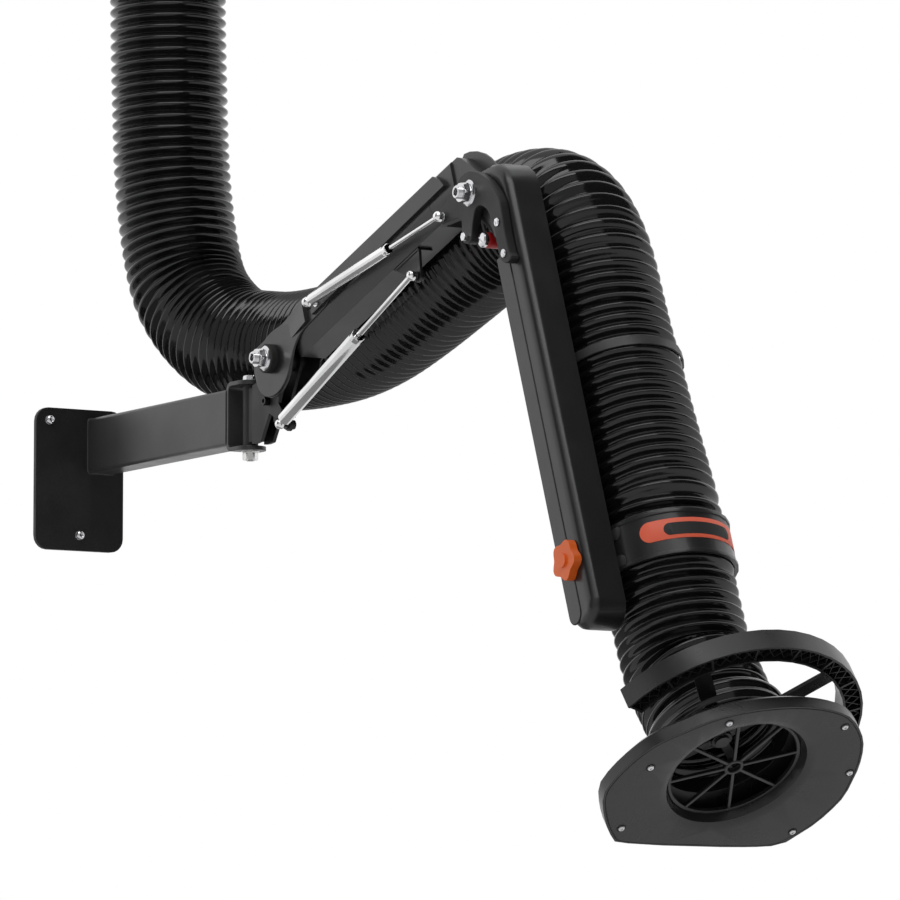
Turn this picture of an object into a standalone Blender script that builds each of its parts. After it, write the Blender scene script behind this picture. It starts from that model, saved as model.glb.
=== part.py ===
"""Wall-mounted fume extraction arm with a ribbed hose, as separate jointed pieces.

Metres, +Z up. X runs out from the wall, Y along the wall. The origin is on the wall face
behind the centre line of the bracket tube.
"""
import math

import bmesh
import bpy
from mathutils import Vector

# General
HALF_SHARE = 0.5
FIT = 0.0003
OVERRUN = 0.004
BITE = 0.001
ROUND_SIDES = 16
SMALL_SIDES = 10
HEX_SIDES = 6
ARC_STEP = math.radians(18)
SHARP_ANGLE = math.radians(35)
FULL_TURN = math.tau
QUARTER_TURN = math.radians(90)
HALF_TURN = math.radians(180)
THREE_QUARTER_TURN = math.radians(270)

# Wall plate and its three bolts
PLATE_WIDTH = 0.143
PLATE_HEIGHT = 0.207
PLATE_THICKNESS = 0.008
PLATE_CENTRE_Y = -0.0345
PLATE_CENTRE_Z = -0.0505
PLATE_CORNER = 0.020
WALL_BOLT_NEAR_EDGE = 0.0215
WALL_BOLT_FAR_EDGE = 0.0075
WALL_BOLT_TOP_EDGE = 0.0185
WALL_BOLT_FOOT_EDGE = 0.0225
WALL_BOLT_NEAR = PLATE_WIDTH * HALF_SHARE - WALL_BOLT_NEAR_EDGE
WALL_BOLT_FAR = PLATE_WIDTH * HALF_SHARE - WALL_BOLT_FAR_EDGE
WALL_BOLT_RISE = PLATE_HEIGHT * HALF_SHARE - WALL_BOLT_TOP_EDGE
WALL_BOLT_DROP = PLATE_HEIGHT * HALF_SHARE - WALL_BOLT_FOOT_EDGE
WALL_BOLT_RADIUS = 0.004
WALL_BOLT_HEAD_RADIUS = 0.0069
WALL_BOLT_HEAD_HEIGHT = 0.0060
WASHER_RADIUS = 0.0073
WASHER_THICKNESS = 0.002

# Bracket tube and the fork on its end
TUBE_HEIGHT = 0.080
TUBE_WIDTH = 0.044
TUBE_WALL = 0.003
TUBE_CORNER = 0.005
TUBE_LENGTH = 0.420
FORK_THICKNESS = 0.006
FORK_REACH = 0.031
FORK_BEND = 0.012
FORK_OPENING = 0.086
SWIVEL_X = PLATE_THICKNESS + TUBE_LENGTH + FORK_REACH

# Swivel pin
SWIVEL_BOLT_RADIUS = 0.006
SWIVEL_HEAD_RADIUS = 0.011
SWIVEL_HEAD_HEIGHT = 0.0075
SWIVEL_NUT_FLANGE_RADIUS = 0.013
SWIVEL_NUT_FLANGE_HEIGHT = 0.003
SWIVEL_NUT_HEIGHT = 0.013
BUSH_WALL = 0.0017
BARREL_WALL = 0.0027

# Swivel bracket
CORE_HALF_WIDTH = 0.0075
CORE_HALF_HEIGHT = 0.038
CORE_LENGTH = 0.034
CHEEK_INNER = 0.007
CHEEK_OUTER = 0.012
CHEEK_HEAD_RADIUS = 0.024
CHEEK_HEAD_START = math.radians(130)
CHEEK_HEAD_END = math.radians(-30)
CHEEK_TOP = ((0.026, 0.040), (0.041, 0.043))
CHEEK_LOWER = ((0.105, 0.019), (0.101, 0.008), (0.110, -0.002), (0.1075, -0.012), (0.0945, -0.014),
               (0.081, -0.007), (0.075, -0.0045), (0.051, -0.041), (0.038, -0.0425), (0.026, -0.042))
PIVOT_TUBE_HALF = 0.0207
PIVOT_TUBE_RADIUS = 0.015
LUG_NEAR = -0.0085
LUG_FAR = -0.0025
LUG_RADIUS = 0.009
LUG_ROOT_REACH = 0.081
LUG_ROOT_X = SWIVEL_X + LUG_ROOT_REACH
LUG_ROOT_TOP = 0.004
LUG_ROOT_BOTTOM = -0.016
STOP_BOLT_REACH = 0.072
STOP_BOLT_X = SWIVEL_X + STOP_BOLT_REACH
STOP_BOLT_Z = 0.013
STOP_BOLT_RADIUS = 0.003
STOP_BOLT_HEAD_RADIUS = 0.0062
STOP_BOLT_HEAD_HEIGHT = 0.008
SOCKET_RADIUS = 0.003
SOCKET_DEPTH = 0.004

# Pivots of the two arms
SHOULDER_REACH = 0.106
SHOULDER_RISE = 0.0676
ELBOW_REACH = 0.551
ELBOW_CLIMB = 0.1584
LOWER_PIVOT = Vector((SWIVEL_X + SHOULDER_REACH, 0, SHOULDER_RISE))
UPPER_PIVOT = LOWER_PIVOT + Vector((ELBOW_REACH, 0, ELBOW_CLIMB))
INNER_RISE = math.radians(19.75)
OUTER_RISE = math.radians(-69.75)
PIVOT_BOLT_RADIUS = 0.0088
PIVOT_BOLT_HEAD_RADIUS = 0.015
PIVOT_BOLT_HEAD_HEIGHT = 0.008
PIVOT_BOLT_END = 0.007
PIVOT_END_BORE = 0.005
FRICTION_WASHER_RADIUS = 0.0205
FRICTION_WASHER_THICKNESS = 0.012
PIVOT_NUT_FLANGE_RADIUS = 0.0175
PIVOT_NUT_FLANGE_HEIGHT = 0.004
PIVOT_NUT_RADIUS = 0.0142
PIVOT_NUT_HEIGHT = 0.014

# Inner arm
ARM_FRONT = -0.024
ARM_REAR = 0.024
ARM_TOP = 0.037
ARM_CREASE = 0
ARM_BOTTOM = -0.024
ARM_CREASE_Y = -0.014
ARM_EDGE = 0.003
ARM_WALL = 0.003
LOBE_RADIUS = 0.054
LOBE_END = math.radians(335)
ARM_START = -0.039
WEB_START = 0.058
DEEP_END = 0.455
NARROW_END = 0.521
TONGUE_FRONT = -0.0207
TONGUE_REAR = -0.0033
TONGUE_RADIUS = 0.025
TONGUE_OUTLINE = ((0.500, -0.023), (0.545, -0.058), (0.572, -0.062), (0.595, -0.045), (0.595, -0.026),
                  (0.566, 0.006), (0.545, 0.030), (0.536, 0.036), (0.500, 0.036))
LOWER_PAD_START = 0.040
LOWER_PAD_END = 0.112
LOWER_PAD_HEIGHT = 0.008
LOWER_PAD_FOOT = 0.002
UPPER_PAD_OUTLINE = ((0.128, 0.005), (0.506, 0.009), (0.498, 0.022), (0.484, 0.0335), (0.140, 0.0335))
UPPER_PAD_HEIGHT = 0.006

# Spring bracket and hose hanger on the inner arm
SPRING_BRACKET_NEAR = -0.0115
SPRING_BRACKET_FAR = -0.0075
SPRING_BRACKET_START = 0.325
SPRING_BRACKET_END = 0.392
SPRING_BRACKET_FLANGE = 0.003
SPRING_BRACKET_FLANGE_REAR = 0.010
SPRING_BRACKET_FLANGE_FRONT = -0.013
SPRING_EYE_RADIUS = 0.009
SPRING_EYE_START = math.radians(215)
SPRING_EYE_END = math.radians(365)
HANGER_START = 0.106
HANGER_LENGTH = 0.022
HANGER_NEAR = 0.002
HANGER_FAR = 0.032
HANGER_HEIGHT = 0.014

# Outer arm
OUTER_LEFT = 0.012
OUTER_RIGHT = 0.072
OUTER_FRONT = -0.024
OUTER_REAR = 0.026
OUTER_WALL = 0.003
OUTER_END_CENTRE = 0.612
OUTER_EDGE_RADIUS = 0.013
HEAD_RADIUS = 0.052
HEAD_CENTRE = (0.022, 0.020)
HEAD_OUTLINE = ((-0.0300, 0.0000), (-0.0302, 0.0140), (-0.0265, 0.0340), (-0.0175, 0.0540),
                (-0.0010, 0.0665), (0.0200, 0.0720))
HEAD_FOOT_OUTLINE = ((0.082, 0.012), (0.060, 0.004), (0.040, -0.012), (0.020, -0.0225), (0, -0.030),
                     (-0.0150, -0.0260), (-0.0255, -0.0150))
OPEN_END = 0.082
OPEN_TOP = 0.036
EDGE_STEPS = 4

# Elbow cheek, lever and stop
ELBOW_CHEEK_FRONT = -0.003
ELBOW_CHEEK_REAR = 0.002
ELBOW_CHEEK_OUTLINE = ((-0.079, -0.055), (-0.085, -0.044), (-0.081, -0.030), (-0.073, -0.014),
                       (-0.061, 0.002), (-0.050, 0.012), (-0.038, 0.020), (-0.020, 0.029),
                       (0.000, 0.034), (0.030, 0.040), (0.052, 0.069), (0.112, 0.069), (0.112, 0.040),
                       (0.092, 0.027), (0.081, 0.018), (0.079, -0.006), (0.070, -0.016),
                       (0.056, -0.016), (0.030, -0.022), (0.012, -0.030), (-0.010, -0.031),
                       (-0.040, -0.045), (-0.064, -0.060))
LEVER_FRONT = -0.037
LEVER_REAR = -0.0243
LEVER_OUTLINE = ((-0.024, -0.032), (-0.031, -0.011), (-0.029, 0.007), (-0.018, 0.025), (0.001, 0.044),
                 (0.020, 0.056), (0.043, 0.064), (0.065, 0.064), (0.093, 0.062), (0.119, 0.063),
                 (0.128, 0.065), (0.129, 0.051), (0.119, 0.041), (0.096, 0.039), (0.072, 0.040),
                 (0.045, 0.034), (0.029, 0.020), (0.027, 0.007), (0.043, -0.007), (0.060, -0.0175),
                 (0.061, -0.027), (0.049, -0.039), (0.036, -0.034), (0.022, -0.032), (0.014, -0.050),
                 (0.009, -0.068), (0.006, -0.078), (-0.002, -0.083), (-0.010, -0.080), (-0.014, -0.070),
                 (-0.017, -0.050))
LEVER_SCREW_1 = (0.069, 0.050)
LEVER_SCREW_2 = (0.115, 0.051)
LEVER_SCREW_RADIUS = 0.0058
LEVER_SCREW_HEIGHT = 0.003
LEVER_BOLT = (0.051, -0.0265)
LEVER_BOLT_RADIUS = 0.006
LEVER_BOLT_HEIGHT = 0.006
SCREW_SHANK = 0.003
SLOT_WIDTH = 0.0014
SLOT_DEPTH = 0.0012
STOP_CENTRE = (0.066, -0.004)
STOP_CAP_RADIUS = 0.0105
STOP_CAP_FRONT = -0.024
STOP_SCREW_RADIUS = 0.0100
STOP_SCREW_FRONT = -0.032

# Knob on the outer arm
KNOB_CENTRE = (0.549, 0.042)
KNOB_RADIUS = 0.027
KNOB_VALLEY_SHARE = 0.80
KNOB_LOBES = 5
KNOB_STEPS = 40
KNOB_HEIGHT = 0.0115
KNOB_HUB_RADIUS = 0.009
KNOB_HUB_HEIGHT = 0.003
KNOB_STUD_RADIUS = 0.004
KNOB_STUD_LENGTH = 0.012

# Ball joints and springs
BALL_RADIUS = 0.005
BALL_NECK_RADIUS = 0.003
BALL_FLANGE_RADIUS = 0.006
BALL_FLANGE_HEIGHT = 0.002
BALL_NUT_RADIUS = 0.007
BALL_NUT_HEIGHT = 0.005
SOCKET_OUTER = 0.0075
SOCKET_INNER = 0.0053
SOCKET_MOUTH = 0.0037
SOCKET_BACK = -0.0065
SOCKET_BACK_RADIUS = 0.005
SOCKET_SHOULDER = -0.0045
SOCKET_FRONT = 0.0038
SOCKET_NECK_START = 0.0062
SOCKET_NECK_RADIUS = 0.004
SPRING_BODY_START = 0.014
LIFT_PLANE = -0.020
LIFT_LOW_REACH = 0.014
LIFT_LOW_DROP = -0.0916
LIFT_HIGH_REACH = 0.373
LIFT_HIGH_RISE = 0.0724
LIFT_LOW = LOWER_PIVOT + Vector((LIFT_LOW_REACH, LIFT_PLANE, LIFT_LOW_DROP))
LIFT_HIGH = LOWER_PIVOT + Vector((LIFT_HIGH_REACH, LIFT_PLANE, LIFT_HIGH_RISE))
LIFT_RADIUS = 0.00975
LIFT_BODY_LENGTH = 0.2396
LIFT_BORE = 0.008
LIFT_GLAND_LENGTH = 0.010
LIFT_ROD_RADIUS = 0.004
LIFT_ROD_LENGTH = 0.225
LIFT_PISTON_RADIUS = 0.0077
LIFT_PISTON_LENGTH = 0.008
ELBOW_PLANE = -0.045
ELBOW_LOW_REACH = 0.133
ELBOW_LOW_RISE = 0.0624
ELBOW_HIGH_REACH = -0.066
ELBOW_HIGH_DROP = -0.023
ELBOW_LOW = LOWER_PIVOT + Vector((ELBOW_LOW_REACH, ELBOW_PLANE, ELBOW_LOW_RISE))
ELBOW_HIGH = UPPER_PIVOT + Vector((ELBOW_HIGH_REACH, ELBOW_PLANE, ELBOW_HIGH_DROP))
ELBOW_RADIUS = 0.0075
ELBOW_BODY_LENGTH = 0.2275
ELBOW_BORE = 0.0065
ELBOW_ROD_RADIUS = 0.0028
ELBOW_ROD_LENGTH = 0.215
SPRING_BASE = 0.010

# Hose
HOSE_RADIUS = 0.085
HOSE_ROOT_RADIUS = 0.0795
HOSE_BORE = 0.0765
RIB_PITCH = 0.017
BORE_PITCH = 0.034
HOSE_SIDES = 8
HOSE_PLANE = 0.118
HOSE_END_GAP = 0.0003
RISER_PATH = ((0.091, 0.062, 0.775), (0.091, 0.062, 0.727), (0.091, 0.062, 0.680),
              (0.092, 0.063, 0.590), (0.094, 0.065, 0.490), (0.099, 0.067, 0.390),
              (0.115, 0.071, 0.290), (0.143, 0.076, 0.215))
BEND_PATH = ((-0.264, 0.087, 0.160), (-0.205, 0.098, 0.128), (-0.140, 0.110, 0.115),
             (-0.080, 0.117, 0.108))
ARM_PATH = ((0.001, 0.105), (0.081, 0.107), (0.161, 0.118), (0.250, 0.140), (0.351, 0.170),
            (0.451, 0.200), (0.551, 0.222), (0.636, 0.210), (0.699, 0.150), (0.747, 0.042),
            (0.804, -0.083), (0.835, -0.148))
COLLAR_PATH = (-0.070, -0.040, 0, 0.040, 0.068)
HOOD_PATH = (-0.170, -0.130, -0.095, -0.075, -0.053)
PATH_STEPS = 24
RISER_FOOT = 0.300
SWIVEL_BEND_REACH = 0.006
SHOULDER_BEND_REACH = 0.151
ELBOW_BEND_REACH = 0.526

# Collars and strap round the hose
DUCT_COLLAR_LENGTH = 0.045
DUCT_COLLAR_WALL = 0.004
DUCT_FOOT_HALF = 0.020
COLLAR_POSITION = 0.540
COLLAR_LENGTH = 0.062
COLLAR_WALL = 0.0040
COLLAR_SIDE = 0.043
COLLAR_LUG_LENGTH = 0.020
COLLAR_LUG_WIDTH = 0.014
COLLAR_RIM = 0.0018
COLLAR_RIM_LENGTH = 0.005
STRAP_POSITION = 0.266
STRAP_LENGTH = 0.0125
STRAP_THICKNESS = 0.0025
STRAP_SIDE = 0.0255
STRAP_FOOT_WIDTH = 0.014
BUCKLE_HALF = 0.011
BUCKLE_HEIGHT = 0.006
BUCKLE_ANGLE = math.radians(62)
COLLAR_SIDES = 28

# Hood
HOOD_REACH = 0.388
HOOD_DROP = -0.767
HOOD_CENTRE = UPPER_PIVOT + Vector((HOOD_REACH, HOSE_PLANE, HOOD_DROP))
HOOD_DIP = math.radians(-52)
GRILLE_RADIUS = 0.0890
GRILLE_RIM = 0.005
GRILLE_DEPTH = 0.006
SPOKE_WIDTH = 0.0045
SPOKE_COUNT = 8
HUB_RADIUS = 0.013
FACE_OFFSET = 0.014
FACE_THICKNESS = 0.003
FACE_LAND_RADIUS = 0.106
FACE_LIP_RADIUS = 0.094
FACE_LIP_OFFSET = 0.0095
RIM_OUTLINE = ((0.118, -0.131), (0.144, -0.110), (0.160, -0.088), (0.171, -0.060), (0.177, -0.032),
               (0.174, 0), (0.168, 0.032), (0.153, 0.070), (0.129, 0.100), (0.098, 0.122),
               (0.043, 0.133), (-0.023, 0.127), (-0.081, 0.107), (-0.123, 0.076), (-0.152, 0.048),
               (-0.170, 0.010), (-0.178, -0.028), (-0.174, -0.053), (-0.152, -0.091),
               (-0.132, -0.116), (-0.112, -0.132), (0, -0.136))
RIM_STEPS = 60
RIM_BACK = -0.003
RIM_WALL = 0.003
NECK_RADIUS = 0.0885
NECK_END = -0.070
NECK_FOOT = -0.036
FUNNEL_SHARE = 0.93
FUNNEL_OFFSET = -0.012
FACE_SCREWS = ((-0.063, 0.097), (0.109, 0.099), (0.161, 0.014), (0.135, -0.102), (-0.121, -0.105),
               (-0.135, 0.010))
FACE_SCREW_RADIUS = 0.004
FACE_SCREW_HEIGHT = 0.0022
FACE_SCREW_SHANK = 0.002

# Handle ring
RING_OUTER = 0.186
RING_INNER = 0.160
RING_NEAR = -0.036
RING_FAR = -0.066
RING_WALL = 0.003
RING_START = math.radians(6)
RING_END = math.radians(160)
RING_STEPS = 20
RING_WEB_COUNT = 8
STRUT_ANGLES = (math.radians(50), math.radians(127))
STRUT_HALF_WIDTH = 0.011
STRUT_THICKNESS = 0.005
STRUT_OFFSET = -0.050

# Tilting joint inside the hose
TILT_OFFSET = -0.184
SPIDER_THICKNESS = 0.003
SPIDER_BAR_WIDTH = 0.012
SPIDER_RING_INNER = 0.0755
SPIDER_COUNT = 4
TILT_BAR_WIDTH = 0.008
TILT_BAR_THICKNESS = 0.006
TILT_EYE_RADIUS = 0.010
TILT_PIN_RADIUS = 0.004
TILT_FORK_THICKNESS = 0.003
TILT_STEM_START = 0.014
HOOD_HUB_OFFSET = -0.050
HOOD_HUB_RADIUS = 0.014
HOOD_HUB_DEPTH = 0.010
HOOD_STEM_RADIUS = 0.006
HOOD_STEM_FLANGE = 0.010
HOOD_STEM_FLANGE_HEIGHT = 0.003

# Colours
BLACK_PAINT = (0.012, 0.012, 0.013)
GREY_PAINT = (0.030, 0.030, 0.032)
HOSE_BLACK = (0.006, 0.006, 0.006)
HOOD_BLACK = (0.010, 0.010, 0.011)
BRIGHT = (0.80, 0.80, 0.82)
WHITE_METAL = (0.85, 0.85, 0.86)
ORANGE = (0.80, 0.16, 0.02)
RED = (0.70, 0.02, 0.02)
DULL = 0.55
SATIN = 0.35
GLOSSY = 0.15


def side(a, b, c):
    """Outline in the X-Z plane, depth along Y."""
    return Vector((a, c, b))


def front(a, b, c):
    """Outline in the Y-Z plane, depth along X."""
    return Vector((c, a, b))


def plan(a, b, c):
    """Outline in the X-Y plane, depth along Z."""
    return Vector((a, b, c))


def along(pivot, rise, a, b, c):
    """A point given along an arm, across it and along Y."""
    x = a * math.cos(rise) - b * math.sin(rise)
    z = a * math.sin(rise) + b * math.cos(rise)
    return Vector((pivot.x + x, c, pivot.z + z))


def on_inner(a, b, c):
    return along(LOWER_PIVOT, INNER_RISE, a, b, c)


def on_outer(a, b, c):
    return along(UPPER_PIVOT, OUTER_RISE, a, b, c)


def inner_section(a, b, c):
    """Outline across the inner arm (Y, height), depth along it."""
    return on_inner(c, b, a)


def outer_section(a, b, c):
    """Outline across the outer arm (Y, width), depth along it."""
    return on_outer(c, b, a)


def inner_plan(a, b, c):
    """Outline along the inner arm and Y, depth across it."""
    return on_inner(a, c, b)


HOOD_NORMAL = Vector((math.cos(HOOD_DIP), 0, math.sin(HOOD_DIP)))
HOOD_ACROSS = Vector((0, 1, 0))
HOOD_UP = Vector((-math.sin(HOOD_DIP), 0, math.cos(HOOD_DIP)))
ARM_DOWN = Vector((math.cos(OUTER_RISE), 0, math.sin(OUTER_RISE)))
DEPTH = Vector((0, 1, 0))
UP = Vector((0, 0, 1))
OUT = Vector((1, 0, 0))


def on_hood(a, b, c):
    """Outline in the plane of the hood's face, depth out of it."""
    return HOOD_CENTRE + HOOD_ACROSS * a + HOOD_UP * b + HOOD_NORMAL * c


TILT_POINT = HOOD_CENTRE + HOOD_NORMAL * TILT_OFFSET


def clear_scene():
    for old in list(bpy.data.objects):
        bpy.data.objects.remove(old, do_unlink=True)


def solid(name, points, faces):
    """A closed mesh object from points and faces, its faces turned outward."""
    mesh = bpy.data.meshes.new(name)
    mesh.from_pydata([tuple(p) for p in points], [], faces)
    work = bmesh.new()
    work.from_mesh(mesh)
    bmesh.ops.recalc_face_normals(work, faces=work.faces[:])
    work.to_mesh(mesh)
    work.free()
    thing = bpy.data.objects.new(name, mesh)
    bpy.context.scene.collection.objects.link(thing)
    return thing


def rings_solid(name, rings, closed=False):
    """A skin over rings of equal count, capped at both ends or closed on itself."""
    count = len(rings[0])
    points = [p for ring in rings for p in ring]
    faces = []
    last = len(rings) if closed else len(rings) - 1
    for i in range(last):
        here = i * count
        there = ((i + 1) % len(rings)) * count
        for k in range(count):
            n = (k + 1) % count
            faces.append((here + k, here + n, there + n, there + k))
    if not closed:
        faces.append(tuple(range(count)))
        faces.append(tuple(range(len(points) - count, len(points))))
    return solid(name, points, faces)


def prism(name, outline, low, high, frame):
    return rings_solid(name, [[frame(a, b, c) for a, b in outline] for c in (low, high)])


def block(name, low, high, frame):
    outline = ((low[0], low[1]), (high[0], low[1]), (high[0], high[1]), (low[0], high[1]))
    return prism(name, outline, low[2], high[2], frame)


def hollow_prism(name, outer, inner, low, high, frame):
    """A prism with a hole of the same point count right through it."""
    rings = [[frame(a, b, c) for a, b in outline]
             for outline, c in ((outer, low), (outer, high), (inner, high), (inner, low))]
    return rings_solid(name, rings, closed=True)


def arc(centre, radius, start, end):
    """Points on an arc, ends included."""
    steps = max(1, math.ceil(abs(end - start) / ARC_STEP))
    turns = [start + (end - start) * i / steps for i in range(steps + 1)]
    return [(centre[0] + radius * math.cos(t), centre[1] + radius * math.sin(t)) for t in turns]


def rounded_box(left, bottom, right, top, radius):
    """A rectangle outline with round corners."""
    outline = arc((right - radius, bottom + radius), radius, -QUARTER_TURN, 0)
    outline += arc((right - radius, top - radius), radius, 0, QUARTER_TURN)
    outline += arc((left + radius, top - radius), radius, QUARTER_TURN, HALF_TURN)
    outline += arc((left + radius, bottom + radius), radius, HALF_TURN, THREE_QUARTER_TURN)
    return outline


def turned(name, profile, start, direction, sides=ROUND_SIDES, ring=False, lean=0):
    """A body of revolution. The profile holds (radius, distance) pairs."""
    axis = Vector(direction).normalized()
    helper = DEPTH if abs(axis.dot(UP)) > HALF_SHARE else UP
    across = axis.cross(helper).normalized()
    other = axis.cross(across)
    points = []
    rows = []
    for radius, distance in profile:
        centre = Vector(start) + axis * distance
        if radius == 0:
            rows.append([len(points)])
            points.append(centre)
            continue
        row = []
        for k in range(sides):
            t = FULL_TURN * k / sides + lean
            row.append(len(points))
            points.append(centre + across * (radius * math.cos(t)) + other * (radius * math.sin(t)))
        rows.append(row)
    faces = []
    pairs = list(zip(rows, rows[1:]))
    if ring:
        pairs.append((rows[-1], rows[0]))
    for first, second in pairs:
        for k in range(sides):
            n = (k + 1) % sides
            if len(first) == 1:
                faces.append((first[0], second[n], second[k]))
            elif len(second) == 1:
                faces.append((first[k], first[n], second[0]))
            else:
                faces.append((first[k], first[n], second[n], second[k]))
    return solid(name, points, faces)


def rod_shape(name, radius, low, high, start, direction, sides=ROUND_SIDES):
    return turned(name, ((0, low), (radius, low), (radius, high), (0, high)), start, direction, sides)


def around(radius, sides):
    """Corner radius of a many-sided bore whose flats clear a round of this radius."""
    return (radius + FIT) / math.cos(math.pi / sides)


def helper_of(target, other, way):
    """Combine another body with the target, keeping the other out of the part."""
    change = target.modifiers.new(way.title(), 'BOOLEAN')
    change.operation = way
    change.solver = 'EXACT'
    change.object = other
    other.hide_render = True
    other.display_type = 'WIRE'
    return target


def cut(target, cutter):
    return helper_of(target, cutter, 'DIFFERENCE')


def join(target, piece):
    return helper_of(target, piece, 'UNION')


def keep(target, piece):
    return helper_of(target, piece, 'INTERSECT')


def bore(target, radius, low, high, start, direction, sides=ROUND_SIDES):
    name = target.name + '_bore_' + str(len(target.modifiers))
    return cut(target, rod_shape(name, radius, low, high, start, direction, sides))


def spokes(target, count, near, far, half, low, high, frame):
    """Join straight spokes that run out from a hub."""
    for k in range(count):
        turn = FULL_TURN * (k + HALF_SHARE) / count
        way = Vector((math.cos(turn), math.sin(turn)))
        cross = Vector((-way.y, way.x)) * half
        corners = (way * near + cross, way * near - cross, way * far - cross, way * far + cross)
        join(target, prism(target.name + '_spoke_' + str(k), [tuple(p) for p in corners], low, high,
                           frame))
    return target


def paint(thing, colour, roughness, metallic=0):
    """Give a piece a material of its own and smooth its round faces."""
    look = bpy.data.materials.new(thing.name)
    look.use_nodes = True
    shader = look.node_tree.nodes['Principled BSDF']
    shader.inputs['Base Color'].default_value = (*colour, 1)
    shader.inputs['Roughness'].default_value = roughness
    shader.inputs['Metallic'].default_value = metallic
    thing.data.materials.append(look)
    thing.data.shade_smooth()
    thing.data.set_sharp_from_angle(angle=SHARP_ANGLE)
    return thing


def chrome(thing):
    return paint(thing, BRIGHT, GLOSSY, 1)


def seat(thing, point):
    """Put a piece's origin on its joint axis without moving the piece."""
    shift = Vector(point)
    for corner in thing.data.vertices:
        corner.co = corner.co - shift
    thing.location = shift
    return thing


def in_plane(pivot, depth):
    return Vector((pivot.x, depth, pivot.z))


def wall_bracket():
    half_width = PLATE_WIDTH * HALF_SHARE
    half_height = PLATE_HEIGHT * HALF_SHARE
    outline = rounded_box(PLATE_CENTRE_Y - half_width, PLATE_CENTRE_Z - half_height,
                          PLATE_CENTRE_Y + half_width, PLATE_CENTRE_Z + half_height, PLATE_CORNER)
    plate = prism('wall_plate', outline, 0, PLATE_THICKNESS, front)
    spots = ((-WALL_BOLT_NEAR, WALL_BOLT_RISE), (WALL_BOLT_FAR, WALL_BOLT_RISE),
             (0, -WALL_BOLT_DROP))
    for number, (across, rise) in enumerate(spots, start=1):
        foot = Vector((0, PLATE_CENTRE_Y + across, PLATE_CENTRE_Z + rise))
        bore(plate, WALL_BOLT_RADIUS + FIT, -OVERRUN, PLATE_THICKNESS + OVERRUN, foot, OUT,
             SMALL_SIDES)
        bolt = turned('wall_bolt_' + str(number),
                      ((0, 0), (WALL_BOLT_RADIUS, 0), (WALL_BOLT_RADIUS, PLATE_THICKNESS),
                       (WASHER_RADIUS, PLATE_THICKNESS),
                       (WASHER_RADIUS, PLATE_THICKNESS + WASHER_THICKNESS),
                       (0, PLATE_THICKNESS + WASHER_THICKNESS)), foot, OUT, SMALL_SIDES)
        top = PLATE_THICKNESS + WASHER_THICKNESS
        head = rod_shape('wall_bolt_head_' + str(number), WALL_BOLT_HEAD_RADIUS, top - BITE,
                         top + WALL_BOLT_HEAD_HEIGHT, foot, OUT, HEX_SIDES)
        chrome(join(bolt, head))
    paint(plate, BLACK_PAINT, DULL)

    half_width = TUBE_WIDTH * HALF_SHARE
    half_height = TUBE_HEIGHT * HALF_SHARE
    outer = rounded_box(-half_width, -half_height, half_width, half_height, TUBE_CORNER)
    inner = rounded_box(-half_width + TUBE_WALL, -half_height + TUBE_WALL,
                        half_width - TUBE_WALL, half_height - TUBE_WALL, TUBE_CORNER - TUBE_WALL)
    tube_end = PLATE_THICKNESS + TUBE_LENGTH
    tube = hollow_prism('bracket_tube', outer, inner, PLATE_THICKNESS, tube_end, front)
    paint(tube, GREY_PAINT, SATIN)

    inside = FORK_OPENING * HALF_SHARE
    outside = inside + FORK_THICKNESS
    tip = SWIVEL_X + half_width
    bend = FORK_BEND
    lower = arc((tube_end + bend, -outside + bend), bend, HALF_TURN, THREE_QUARTER_TURN)
    upper = arc((tube_end + bend, outside - bend), bend, QUARTER_TURN, HALF_TURN)
    bend_inner = bend - FORK_THICKNESS
    upper_inner = arc((tube_end + bend, outside - bend), bend_inner, HALF_TURN, QUARTER_TURN)
    lower_inner = arc((tube_end + bend, -outside + bend), bend_inner, THREE_QUARTER_TURN,
                      HALF_TURN)
    outline = ([(tip, outside)] + upper + lower + [(tip, -outside), (tip, -inside)] + lower_inner
               + upper_inner + [(tip, inside)])
    fork = prism('end_fork', outline, -half_width, half_width, side)
    shape = [(tube_end - OVERRUN, -half_width - OVERRUN)]
    shape += [(SWIVEL_X, -half_width - OVERRUN)]
    shape += arc((SWIVEL_X, 0), half_width, -QUARTER_TURN, QUARTER_TURN)
    shape += [(SWIVEL_X, half_width + OVERRUN), (tube_end - OVERRUN, half_width + OVERRUN)]
    keep(fork, prism('fork_ends', shape, -outside - OVERRUN, outside + OVERRUN, plan))
    axis_point = Vector((SWIVEL_X, 0, 0))
    bore(fork, SWIVEL_BOLT_RADIUS + FIT, -outside - OVERRUN, outside + OVERRUN, axis_point, UP)
    paint(fork, GREY_PAINT, SATIN)

    nut_end = -outside - SWIVEL_NUT_HEIGHT
    bolt = turned('swivel_bolt', ((0, nut_end), (SWIVEL_BOLT_RADIUS, nut_end),
                                  (SWIVEL_BOLT_RADIUS, outside), (SWIVEL_HEAD_RADIUS, outside),
                                  (SWIVEL_HEAD_RADIUS, outside + SWIVEL_HEAD_HEIGHT),
                                  (0, outside + SWIVEL_HEAD_HEIGHT)), axis_point, UP)
    chrome(bolt)
    flange_end = -outside - SWIVEL_NUT_FLANGE_HEIGHT
    nut = rod_shape('swivel_nut', SWIVEL_NUT_FLANGE_RADIUS, flange_end, -outside, axis_point, UP)
    join(nut, rod_shape('swivel_nut_hex', SWIVEL_HEAD_RADIUS, nut_end, flange_end + BITE, axis_point,
                        UP, HEX_SIDES))
    bore(nut, SWIVEL_BOLT_RADIUS + FIT, nut_end - OVERRUN, -outside + OVERRUN, axis_point, UP)
    paint(nut, WHITE_METAL, SATIN, 1)


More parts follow.
